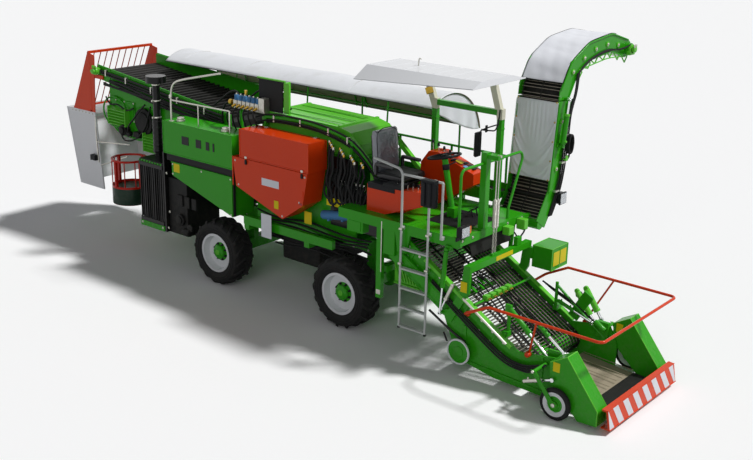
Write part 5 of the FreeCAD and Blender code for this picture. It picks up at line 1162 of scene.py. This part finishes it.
wear_rubber = rubber("wear_strip_rubber", "131413", "3f3b33", 0.35, 0.55, 180)
for body, path in (("chassis", [foot_yz, bend_yz, joint_yz]), ("gooseneck", neck_path)):
    settle([bar((3826, *place), (4394, *place), 5.5, 8) for place in walk(path, 42, 62)],
           body + "_elevator_rods", worn_steel, body)
    settle([bar((3830, *place), (4390, *place), 15, 10) for place in walk(path, 330, 78)[1:]],
           body + "_elevator_flights", wear_rubber, body)
    settle(tubes([[(x, *place) for place in walk(path, 60, 62)] for x in (3845, 4109, 4375)], 9),
           body + "_elevator_belts", wear_rubber, body)
    backing = [[(3822, *place), (4398, *place)] for place in walk(path, 40, 20)]
    settle(thickened(cloth_grid(backing), 4), body + "_elevator_pan", wear_rubber, body)

for path, body in (([bend_yz, joint_yz], "chassis"), (neck_path[1:], "gooseneck")):
    edges = [[(x, *p) for p in walk(path, 40, offset)] for x in (3806, 4414) for offset in (112, -112)]
    settle(tubes(edges, 11), body + "_elevator_flanges", green, body)
    points = walk(path, 300, 0)[1:]
    settle([bar((x, *place), (x + long, *place), 34, 24, 4) for place in points
            for x, long in ((4405, 19), (3796, 16))], body + "_elevator_bosses", sunlit_lighter_green, body)
    settle(bolts([(4424, *place) for place in points], (1, 0, 0), 13), body + "_elevator_bolts",
           zinc, body)
paint(chrome, "neck_ram_rod", "lift_ram_rods")
ram_foot, ram_eye = Vector((4470, 1700, 2500)), Vector((4470, 1785, 3075))
way = (ram_eye - ram_foot).normalized()
port = ram_foot + way * 60
settle([bar(ram_foot + way * 372, ram_foot + way * 404, 36, 32, 4),
        bar(port, port + Vector((48, 0, 0)), 14, 12, 2)], "neck_ram_gland", sunlit_lighter_green,
       "neck_ram_barrel")

# The neck's nose carries a hydraulic motor, its hoses and a chain guard. A lattice brace of
# thin rods runs under the neck.
nose = (3330, 3545)
settle([bar((4412, *nose), (4500, *nose), 62, 32, 6), bar((4498, *nose), (4540, *nose), 44, 32, 5),
        block((4440, 3260, 3465), (4500, 3400, 3565), 10),
        bar((3800, *nose), (3770, *nose), 80, 32, 8)], "nose_motor", sunlit_lighter_green, "gooseneck")
settle([post(4530, y, 3565, 3607, 14, 6, 2) for y in (3304, 3350)], "nose_fittings", zinc, "gooseneck")
under_line = walk(neck_path[2:], 110, -118)
lattice = []
for a, b in zip(under_line[::2], under_line[1::2]):
    lattice.append(bar((4408, a.x, a.y), (4408, b.x, b.y - 70), 9, 12, 1))
    lattice.append(bar((4408, b.x, b.y - 70), (4408, b.x + 60, b.y), 9, 12, 1))
lattice.append(tubes([[(4408, 2080, 3400), (4408, 2500, 3440), (4408, 2900, 3480), (4408, 3260, 3440)]],
                     8))
settle(lattice, "neck_lattice", sunlit_lighter_green, "gooseneck")

# Hydraulic hoses climb the elevator's front side and cross its fold in a loose loop. They are
# drawn in pieces: the fixed run, the loop across the fold, and the neck's run.
fixed, loops = [], []
for i in range(4):
    x, y = 4434 + i % 2 * 14, 1560 + i * 22
    fixed.append([(4424, y, 1600), (x - 2, y + 100, 1820), (x, y + 190, 2100), (x, y + 230, 2400),
                  (x, y + 252, 2700)])
    loops.append([(x, y + 252, 2690), (4440, 1850 + i * 16, 2850), (4446, 1900 + i * 14, 3000),
                  (4446, 1960 + i * 12, 3120), (4440, 1990 + i * 14, 3260), (4430, 2010 + i * 16, 3370)])
settle(tubes(fixed, 10), "elevator_hoses", hose_rubber)
bend = tubes(loops, 10)
settle(bend, "fold_hoses", hose_rubber, None)
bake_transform(bend)
upper = [[(4430, 2005 + i * 14, 3340 + i * 4), (4424, 2150 + i * 8, 3450),
          (4424, 2420 + i * 4, 3540 - i * 8), (4424, 2800, 3600 - i * 10), (4424, 3160, 3530 + i * 10),
          (4470, 3290 + i * 16, 3600)] for i in range(3)]
settle(tubes(upper, 9), "neck_hoses", hose_rubber, "gooseneck")
reel = [[(4460 + i * 9, 1870 + 58 * math.cos(math.tau * t / 16), 2500 + 120 * math.sin(math.tau * t / 16))
         for t in range(17)] for i in range(5)]
reel += [[(4470, 1880, 2390), (4468, 1900, 2330), (4440, 1860, 2280), (4430, 1810, 2270)]]
settle(tubes(reel, 12), "hose_coil", hose_rubber)
settle([block((4414, y, z), (4460, y + 90, z + 26), 4)
        for y, z in ((1640, 1900), (1740, 2260), (1790, 2600))], "hose_clamps", zinc)
settle([block((4414, 1780, 2300), (4480, 1850, 2316), 4),
        block((4470, 1790, 2290), (4484, 1846, 2360), 4)], "coil_bracket", sunlit_lighter_green)

# ---------- elevator's cloths
# The lower trough is closed by a grey tarpaulin, laced at its corners and hems. It is draped by
# a cloth simulation, so tension folds run from its eyelets. The neck wears a taut white one.
grey_cloth = coated_cloth("grey_tarpaulin", "e0e3e9", "e0e3e9", 0.42, "bcc0c8")
low = bend_yz + rise * 160
high = joint_yz - rise * 20
side = Vector((-rise.y, rise.x))
tarp_rows, tall, wide = [], 96, 60
# It was cut a little larger than its opening, so it hangs in folds.
spare = 1.032
for r in range(tall + 1):
    centre = low + (high - low) * r / tall + side * 128
    tarp_rows.append([(3817 + 586 * c / wide, centre.x, centre.y) for c in range(wide + 1)])
tarp = cloth_grid(tarp_rows)
rest = [v.co.copy() for v in tarp.data.vertices]
pins = tarp.vertex_groups.new(name="pins")
held = [r * (wide + 1) + c for r in (0, tall) for c in range(0, wide + 1, 6)]
held += [r * (wide + 1) + c for r in range(0, tall + 1, 24) for c in (0, wide)]
pins.add(held, 1.0, "REPLACE")
cloth = tarp.modifiers.new("cloth", "CLOTH")
cloth.settings.vertex_group_mass = "pins"
cloth.settings.quality = 6
cloth.settings.mass = 0.4
cloth.settings.shrink_min = 1 - spare
cloth.settings.tension_stiffness = cloth.settings.compression_stiffness = 25
cloth.settings.bending_stiffness = 1.2
run_cloth(tarp, cloth, 34)
out = spot(0, side.x, side.y) - spot(0, 0, 0)
for vertex, start in zip(tarp.data.vertices, rest):
    depth = (vertex.co - start).dot(out)
    vertex.co -= out * (depth - max(min(depth, 0.034), -0.026))
settle(thickened(tarp, 1.6), "elevator_tarpaulin", grey_cloth)
foot, head, top = low + side * 128, high + side * 128, high + side * 130
tarp_edges = [[(3815, *foot), (3815, *head)], [(4405, *foot), (4405, *head)],
              [(3815, *foot), (4405, *foot)], [(3815, *top), (4405, *top)]]
tarp_hem = settle(tubes(tarp_edges, 4.5, False), "tarpaulin_hem", white_enamel)
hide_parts("elevator_tarp")
eyelets = []
for x in (3830, 4390):
    for place in (low + (high - low) * k / 4 for k in range(5)):
        eyelets.append(bar((x, *(place + side * 128)), (x, *(place + side * 134)), 11, 20, 2))
settle(eyelets, "tarpaulin_eyelets", brass)

start = neck_path[1] + (neck_path[2] - neck_path[1]) * 0.25
end = neck_path[4] + (neck_path[5] - neck_path[4]) * 0.2
sheet_path = walk([start] + neck_path[2:5] + [end], 22, 0)
# The corners of the path are rounded as the cloth runs over them.
for _ in range(14):
    sheet_path = [sheet_path[0]] + [(a + b * 2 + c) / 4 for a, b, c in
                                    zip(sheet_path, sheet_path[1:], sheet_path[2:])] + [sheet_path[-1]]
neck_rows = []
for index, place in enumerate(sheet_path):
    ahead = sheet_path[min(index + 1, len(sheet_path) - 1)] - sheet_path[max(index - 1, 0)]
    normal = Vector((-ahead.y, ahead.x)).normalized()
    row = []
    for share in (c / 40 for c in range(41)):
        bow = math.sin(math.pi * share)
        ripple = 1.6 * math.sin(share * 19 + index * 0.31) + 1.2 * math.sin(index * 0.9 + share * 5)
        point = place + normal * (130 - (9 * bow + ripple) * bow ** 0.4)
        row.append((3817 + 586 * share, point.x, point.y))
    neck_rows.append(row)
neck_sheet = settle(thickened(cloth_grid(neck_rows), 1.6), "neck_tarpaulin", white_cloth, "gooseneck")
neck_edges = [[(3814, *row[0][1:]) for row in neck_rows], [(4406, *row[-1][1:]) for row in neck_rows],
              neck_rows[0][::8], neck_rows[-1][::8]]
neck_hem = settle(tubes(neck_edges, 4), "neck_tarpaulin_hem", black_enamel, "gooseneck")
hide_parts("gooseneck_tarp")

# ---------- rod chain of the head
# Steel rods, polished by soil, are riveted to rubber belts. The left half's rods are drawn darker,
# in the belts' rubber, with thin belts between them, and that half reads as a dark mesh.
HEAD_ANGLE = math.radians(31)


def slope(along, across):
    """A place (x, z) of the head: along its belt from the pivot, and square to it."""
    return (3450 + along * math.cos(HEAD_ANGLE) + across * math.sin(HEAD_ANGLE),
            1400 - along * math.sin(HEAD_ANGLE) + across * math.cos(HEAD_ANGLE))


def belt_loop(radius, step):
    """Places (x, z) round the closed chain, a step apart."""
    near, far, middle = 30, 2000, -80
    straight, bend = far - near, math.pi * radius
    total, made, at = 2 * (straight + bend), [], 0.0
    while at < total - step / 2:
        if at < straight:
            made.append(slope(near + at, middle + radius))
        elif at < straight + bend:
            angle = (at - straight) / radius
            made.append(slope(far + radius * math.sin(angle), middle + radius * math.cos(angle)))
        elif at < 2 * straight + bend:
            made.append(slope(far - (at - straight - bend), middle - radius))
        else:
            angle = (at - 2 * straight - bend) / radius
            made.append(slope(near - radius * math.sin(angle), middle - radius * math.cos(angle)))
        at += step
    return made


ring = belt_loop(136, 41)
chain = settle([disc(x, z, -112, 470, 6.5, 8) for x, z in ring], "rod_chain", worn_steel, "head")
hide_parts("head_belt")
# The left half's rods are drawn darker, in the belts' rubber.
settle([disc(x, z, 470, 1072, 7.5, 8) for x, z in ring], "dark_left_rods", wear_rubber, "head")
bands = []
ring = belt_loop(141, 30)
for y, half in ((-92, 22), (180, 20), (470, 22), (1052, 22)):
    band = [[(x, y - half, z), (x, y + half, z)] for x, z in ring + ring[:1]]
    bands.append(thickened(cloth_grid(band), 7))
settle(bands, "chain_belts", wear_rubber, "head")
settle(tubes([[(x, y, z) for x, z in belt_loop(146, 60)[:36]] for y in range(540, 1050, 64)], 4),
       "mesh_belts", worn_steel, "head")
settle([bar((x - 2, y, z - 2), (x + 2, y, z + 3), 9, 10) for x, z in belt_loop(145, 123)
        for y in (-92, 470, 1052)], "belt_rivets", zinc, "head")

# ---------- head side plates
# Folded flanges, gussets and bolt heads stiffen the side plates. Plated tubes, hoses and a
# chain case run along the right-hand side.
def on_side(y0, y1, along, across, long, high, edge=3):
    """A block on a side plate, lying along the slope."""
    x, z = slope(along + long / 2, across)
    return block((x - long / 2, y0, z - high / 2), (x + long / 2, y1, z + high / 2), edge,
                 ("Y", math.degrees(HEAD_ANGLE)))


settle([on_side(-188, -120, 330, 124, 1480, 14), on_side(-190, -178, 330, 108, 1480, 40),
        on_side(1082, 1150, 330, 124, 1560, 14), on_side(1138, 1150, 330, 108, 1560, 40)],
       "head_flanges", sunlit_lighter_green, "head")
gussets = [on_side(y, y + 14, a, 0, 26, 190) for y in (-157, 1103) for a in (150, 620, 1090, 1560)]
gussets += [block((4500, y, 150), (5500, y + 16, 180), 4, ("Y", 3)) for y in (-160, 1104)]
gussets += [block((4380, -158, 420), (4420, -144, 640), 4),
            block((5440, -158, 180), (5480, -144, 560), 4)]
settle(gussets, "head_gussets", green, "head")
side_bolts = []
for a in range(60, 1880, 182):
    for x, z in (slope(a, 60), slope(a + 40, -70)):
        side_bolts.append((x, -145, z))
settle(bolts(side_bolts, (0, -1, 0), 10), "right_head_bolts", zinc, "head")
settle(bolts([(x, 1105, z) for x, _, z in side_bolts], (0, 1, 0), 10), "left_head_bolts", zinc, "head")
grey_tube = joined([bar((4390, -205, 985), (5010, -205, 600), 15, 24, 2),
                    bar((4380, -205, 992), (4420, -150, 970), 9, 12, 1),
                    bar((4990, -205, 612), (5000, -150, 600), 9, 12, 1)])
settle(grey_tube, "flange_tube", zinc, "head")
settle([on_side(-200, -146, 40, -130, 760, 150, 14), on_side(-206, -196, 60, -130, 720, 110, 8),
        block((4250, -196, 180), (4480, -146, 420), 16)], "chain_case", green, "head")
settle([disc(4370, 320, -232, -222, 150, 48, 3), disc(4370, 320, -222, -150, 60, 32, 4),
        disc(4370, 320, -240, -228, 70, 32, 4)], "coulter_disc", green, "head")
settle(turned([(140, -242), (158, -242), (162, -232), (158, -220), (140, -220)], (4370, 0, 320), 64),
       "coulter_rim", white_enamel, "head")
stub = joined([bar((4100, -160, 470), (4200, -230, 410), 12, 16, 2),
               tubes([[(3880, -170, 700), (4050, -172, 610), (4260, -172, 500), (4420, -170, 440)]], 15)])
settle(stub, "lower_edge_tube", black_enamel, "head")
side_runs = []
for index in range(4):
    y, drop = -165 - index % 2 * 16, index * 22
    side_runs.append([(3900, y, 1090 - drop), (4200, y - 10, 900 - drop), (4600, y - 13, 640 - drop),
                      (4980, y - 17, 420 - drop), (5240, -200, 400 - drop),
                      (5420, -240 - index * 18, 470 - drop), (5560, -230 - index * 14, 520)])
settle(tubes(side_runs, 11), "head_hoses", hose_rubber, "head")

# ---------- cylinders of the head
# Green and plated barrels with chromed rods set the dividers and the gauge wheels. Both ends
# have eyes, and valve blocks with brass couplings stand over the chain.
for name, foot, end, barrel, rod, share, material in (
        ("right_upper_cylinder", (4920, -50, 985), (5520, -75, 520), 30, 15, 0.5, green),
        ("right_inner_cylinder", (5330, -20, 850), (5690, -70, 640), 26, 15, 0.35, green),
        ("left_divider_cylinder", (5250, 1150, 960), (5480, 1170, 610), 38, 19, 0.72, sunlit_lighter_green),
        ("left_second_cylinder", (5170, 1075, 930), (5420, 1085, 600), 34, 17, 0.78, sunlit_lighter_green),
        ("left_lower_cylinder", (4960, 1020, 760), (5430, 1020, 600), 24, 14, 0.45, green),
        ("right_gauge_cylinder", (5390, -385, 330), (5735, -385, 452), 22, 16, 0.62, zinc),
        ("left_gauge_cylinder", (5390, 1345, 330), (5735, 1345, 452), 22, 16, 0.62, zinc),
        ("second_lift_cylinder", (4235, -212, 1120), (4085, -212, 790), 25, 14, 0.6, zinc)):
    a, b = Vector(foot), Vector(end)
    way, middle = (b - a).normalized(), a + (b - a) * share
    half_eye, port = Vector((0, 16, 0)), Vector((0, 0, barrel + 22))
    shell = [bar(a + way * 12, middle, barrel, 28, 3),
             bar(middle - way * 22, middle + way * 8, barrel + 4, 28, 3),
             bar(a - half_eye, a + half_eye, barrel * 0.85, 24, 3)]
    shell += [bar(at, at + port, 9, 12, 2) for at in (a + way * 44, middle - way * 44)]
    settle(shell, name + "_barrel", material, "head")
    settle([bar(middle - way * 10, b - way * 10, rod, 24),
            bar(b - Vector((0, 15, 0)), b + Vector((0, 15, 0)), rod + 9, 24, 3)],
           name + "_rod", chrome, "head")
settle(post(5190, 1100, 700, 850, 10, 16, 2), "lever_stem", zinc, "head")
settle(turned([(0.5, -46), (18, -42), (34, -30), (44, -12), (46, 0), (44, 12), (34, 30), (18, 42),
               (0.5, 46)], (5190, 1100, 880), 32), "lever_ball", plastic, "head")
settle([turned([(0.5, -36), (16, -32), (30, -20), (35, 0), (30, 20), (16, 32), (0.5, 36)],
               (5290, y, 552), 28) for y in (-189, 1149)], "safety_bar_balls", orange, "head")
blocks, brasses, cross_hoses = [], [], []
for index in range(5):
    y = 60 + index * 115
    x, z = slope(1150, 150)
    blocks.append(block((x - 34, y, z - 20), (x + 34, y + 84, z + 46), 6))
    brasses += [bar((x + 34, y + 24 + k * 34, z + 10), (x + 62, y + 24 + k * 34, z + 4), 11, 6, 2)
                for k in (0, 1)]
    cross_hoses.append([(x + 58, y + 40, z + 4), (x + 150, y + 20, z - 40), (x + 260, y - 20, z - 160),
                        (x + 420, y - 60 + index * 10, z - 250), (x + 620, y - 90 + index * 20, z - 400)])
    cross_hoses.append([(x - 30, y + 40, z + 20), (x - 120, y + 60, z + 90), (x - 260, y + 30, z + 140),
                        (x - 420, y + 10, z + 210)])
settle(blocks, "head_valve_blocks", sunlit_lighter_green, "head")
settle(brasses, "head_couplings", brass, "head")
settle(tubes(cross_hoses, 9), "head_valve_hoses", hose_rubber, "head")
leaves = []
for index in range(6):
    y = 20 + index * 78
    x, z = slope(880 + (index % 2) * 60, 96)
    leaves.append(block((x - 60, y, z - 8), (x + 60, y + 44, z + 8), 3, ("Y", math.degrees(HEAD_ANGLE))))
settle(leaves, "crop_fingers", green, "head")
settle(tubes([[(4700 + index * 40, 1060, 940 - index * 20), (4900, 1000 + index * 20, 900 - index * 20),
               (5120, 1010 + index * 24, 820 - index * 26), (5300, 1050 + index * 16, 700 - index * 20),
               (5520, 1060 + index * 18, 560), (5640, 1060 + index * 12, 480 - index * 20)]
              for index in range(4)], 11), "left_head_hoses", hose_rubber, "head")
settle([block((5180, 1040, 560), (5320, 1080, 960), 8, ("Y", 30)),
        block((5480, 1040, 440), (5640, 1100, 640), 8), block((5480, -80, 440), (5640, -30, 640), 8),
        block((4880, -70, 900), (4960, -30, 1020), 6),
        bar((5480, 1000, 640), (5620, 1000, 560), 34, 24, 4)], "cylinder_brackets", green, "head")

# ---------- floor, dividers and guard
# The pick-up floor is worn beige paint with a dark rubber lip in front. The dividers have
# rolled top edges and blank yellow films. White blocks alternate on the orange road guard.
beige_floor = painted_steel("worn_beige_enamel", "b7ab95", "8f8370", "6d6352", rough=0.5, coat=0.0)
paint(beige_floor, "head_floor")
settle([block((6000, -118, 92), (6326, 1078, 98), 3, ("Y", 4.5)),
        block((6010, -118, 84), (6050, 1078, 110), 4)], "floor_lip", wear_rubber, "head")
settle([block((5330, -100 + i * 195, 152), (5990, -88 + i * 195, 158), 2, ("Y", 3)) for i in range(7)],
       "floor_seams", beige_floor, "head")
edges, films = [], []
for y0, y1 in ((-350, -145), (1105, 1310)):
    for y in (y0, y1):
        edges.append([(5678, y, 640), (5882, y, 757), (6288, y, 240), (6288, y, 70)])
    edges.append([(5882, y0, 757), (5882, y1, 757)])
    films.append(block((5716, y0 - 3, 545), (5800, y0, 655), 1))
settle(tubes(edges, 7, False), "divider_edges", sunlit_lighter_green, "head")
settle(films, "divider_films", label_yellow, "head")
blocks = []
for index in range(8):
    y = -335 + index * 226
    z0, z1 = 66, 280
    front = [(6440 - 40 * (z - 60) / 220 + 1.6, yy, z) for yy, z in
             ((max(y, -322), z0), (min(y + 113, 1282), z0), (max(y + 5, -318), z1),
              (max(y - 108, -322), z1))]
    rear = [(px - 3, py, pz) for px, py, pz in front]
    blocks.append(from_mesh([spot(*p) for p in front + rear],
                            [(0, 1, 2, 3), (7, 6, 5, 4), (0, 4, 5, 1), (1, 5, 6, 2), (2, 6, 7, 3),
                             (3, 7, 4, 0)]))
settle(blocks, "guard_stripes", label_white, "head")
settle(tubes([[(6441, -328, 64), (6441, 1288, 64)], [(6400, -328, 282), (6400, 1288, 282)]], 6, False),
       "guard_hems", orange, "head")

# ---------- portal and its films
# Blank yellow films stand on the portal's bar, its leg and the two fronts of the cover box.
# The springs' chains end at lugs on the bar, and two hoses run up from a valve beside them.
portal_films = [block((4450, 360, 1322), (4453, 720, 1378), 0.8)]
portal_films += [block((4761, y, 1110), (4764, y + 140, 1290), 0.8) for y in (1170, 1334)]
portal_films += [block((4330, -188.5, 1060), (4420, -184, 1190), 0.8)]
settle(portal_films, "portal_films", label_yellow, "head")
box_edges = tubes([[(4480, 1133, 1340), (4760, 1133, 1340), (4760, 1513, 1340), (4480, 1513, 1340),
                    (4480, 1133, 1340)], [(4760, 1133, 1062), (4760, 1133, 1340)],
                   [(4760, 1513, 1062), (4760, 1513, 1340)], [(4760, 1133, 1062), (4760, 1513, 1062)],
                   [(4761, 1322, 1062), (4761, 1322, 1340)]], 5, False)
settle(box_edges, "cover_box_folds", sunlit_lighter_green, "head")
settle([block((4392, y - 24, 1388), (4428, y + 24, 1420), 5) for y in (330, 382)], "portal_lugs", green,
       "head")
for side, y in (("right", 330), ("left", 382)):
    rings = []
    for index in range(10):
        z = 1412 + index * 29
        for shift in (-8, 8):
            dx, dy = (shift, 0) if index % 2 else (0, shift)
            rings.append([(4410 + dx, y + dy, z), (4410 + dx, y + dy, z + 34)])
    chain_piece = tubes(rings, 4, True, 2)
    settle(chain_piece, side + "_spring_chain", zinc, None)
    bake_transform(chain_piece)
boxed = [block((4380, 830, 1388), (4440, 930, 1500), 8), block((4300, 1000, 1545), (4420, 1090, 1680), 10),
         block((4300, 690, 1545), (4400, 800, 1650), 8)]
settle(boxed[:1], "portal_valve", green, "head")
settle(boxed[1:], "front_panel_boxes", sunlit_lighter_green)
portal_runs = [[(4400, 880, 1480), (4380, 860, 1560), (4300, 760, 1600), (4180, 640, 1560)],
               [(4420, 900, 1480), (4440, 980, 1540), (4380, 1080, 1580), (4300, 1140, 1560)]]
runs_piece = tubes(portal_runs, 10)
settle(runs_piece, "portal_hoses", hose_rubber, None)
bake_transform(runs_piece)

# A rubber curtain hangs from the deck's front edge over the upper end of the chain.
curtain_rows = [[(4236 + 60 * share + 5 * math.sin(c * 0.42 + share * 1.4) * share, 60 + 840 * c / 48,
                  1634 - 215 * share) for c in range(49)] for share in (r / 24 for r in range(25))]
curtain = settle(thickened(cloth_grid(curtain_rows), 4), "rubber_curtain", wear_rubber)

# ---------- gauge wheels
# Solid rubber tyres run on white rims, each with a green hub and a plated cap nut. A second
# nut holds the arm's pivot.
tyre_profile = [(138, -28), (160, -30), (178, -26), (188, -14), (190, 0), (188, 14), (178, 26),
                (160, 30), (138, 28), (134, 0)]
rim_profile = [(96, -18), (128, -24), (141, -30), (145, -26), (140, -12), (132, 0), (140, 12),
               (145, 26), (141, 30), (128, 24), (96, 18), (92, 0)]
hub_profile = [(19, -28), (60, -26), (68, -12), (100, -8), (100, 8), (68, 12), (60, 26), (19, 28)]
for wheel, y, outward in (("right_gauge", -395, -1), ("left_gauge", 1355, 1)):
    centre = (5800, y, 190)
    body = wheel + "_wheel"
    tyre = settle(turned(tyre_profile, centre, 72), wheel + "_tyre", tyre_rubber, body)
    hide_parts(body)
    settle(turned(rim_profile, centre, 64), wheel + "_rim", white_enamel, body)
    settle(turned(hub_profile, centre, 48), wheel + "_hub", green, body)
    near = y + outward * 44
    settle([disc(5800, 190, near, near + outward * 18, 26, 6, 4),
            disc(5520, 505, near, near + outward * 16, 20, 6, 3)], wheel + "_nuts", zinc, "head")

# ---------- low block behind the ladder
# A bright green motor guard hangs under the deck, beside the belt's upper end. Eight tilted
# slats close its near side.
slats = [block((3230 + i * 44, -20, 860), (3246 + i * 44, 10, 1180), 3, ("Y", -20)) for i in range(8)]
slats += [block((3190, 8, 830), (3620, 130, 1190), 8), block((3200, -24, 1176), (3600, 12, 1192), 4),
          block((3200, -24, 832), (3600, 12, 848), 4)]
settle(slats, "slatted_motor_guard", sunlit_lighter_green)

# ---------- floor, light and camera
# A pale studio floor that runs to the horizon. A broad key light stands high on the machine's
# front left, so its shadow falls to the rear right, with an even sky and a weak fill.
def seen_rays(tree):
    """One for rays from the camera, off a glossy face or through glass, and none for the others."""
    rays = add(tree, "LightPath")
    total = add(tree, "Math", {"operation": "ADD", 0: rays.outputs["Is Camera Ray"],
                               1: rays.outputs["Is Glossy Ray"]})
    return add(tree, "Math", {"operation": "ADD", "use_clamp": True, 0: total.outputs[0],
                              1: rays.outputs["Is Transmission Ray"]}).outputs[0]


bpy.ops.object.select_all(action="DESELECT")
bpy.ops.mesh.primitive_plane_add(size=400, location=(0, 0, 0))
floor = bpy.context.object
floor.name = floor.data.name = "studio_floor"
pale, tree, place = new_material("pale_floor")
tone = add(tree, "Mix", {"data_type": "RGBA", 6: linear("c6c6c8"), 7: linear("ffffff"),
                         "Factor": seen_rays(tree)})
finish_material(tree, {"Roughness": 0.95, "Specular IOR Level": 0.0, "Base Color": tone.outputs[2]})
floor.data.materials.append(pale)

world = bpy.data.worlds.new("studio")
bpy.context.scene.world = world
world.use_nodes = True
tree = world.node_tree
tree.nodes.clear()
soft = add(tree, "Background", {"Color": linear("eef1f6"), "Strength": 0.14})
white = add(tree, "Background", {"Color": linear("f4f4f4"), "Strength": 1.0})
pick = add(tree, "MixShader", {0: seen_rays(tree), 1: soft.outputs[0], 2: white.outputs[0]})
add(tree, "OutputWorld", {"Surface": pick.outputs[0]})


def lamp(name, place, spread, power):
    """A far, broad light that shines from a place towards the machine."""
    light = bpy.data.lights.new(name, "SUN")
    light.angle, light.energy = math.radians(spread), power
    holder = bpy.data.objects.new(name, light)
    bpy.context.scene.collection.objects.link(holder)
    holder.location = place
    holder.rotation_euler = (-Vector(place)).to_track_quat("-Z", "Y").to_euler()


lamp("key_light", (5.5, 4.5, 10.0), 7, 2.85)
lamp("fill_light", (5.0, -10.0, 5.0), 40, 0.42)

# The camera looks 39.4 degrees off the machine's side and 18.1 degrees down, turned 1.2 degrees.
shot = bpy.data.cameras.new("shot")
shot.lens, shot.sensor_width = 51.06, 36.0
shot.clip_end = 600
camera = bpy.data.objects.new("camera", shot)
bpy.context.scene.collection.objects.link(camera)
azimuth, elevation, roll = (math.radians(v) for v in (39.4, 18.1, 1.2))
camera.location = (9.782, -11.314, 5.6)
forward = Vector((-math.sin(azimuth) * math.cos(elevation), math.cos(azimuth) * math.cos(elevation),
                  -math.sin(elevation)))
camera.rotation_euler = (forward.to_track_quat("-Z", "Y").to_matrix()
                         @ Matrix.Rotation(roll, 3, "Z")).to_euler()
bpy.context.scene.camera = camera
bpy.context.scene.view_settings.view_transform = "Standard"
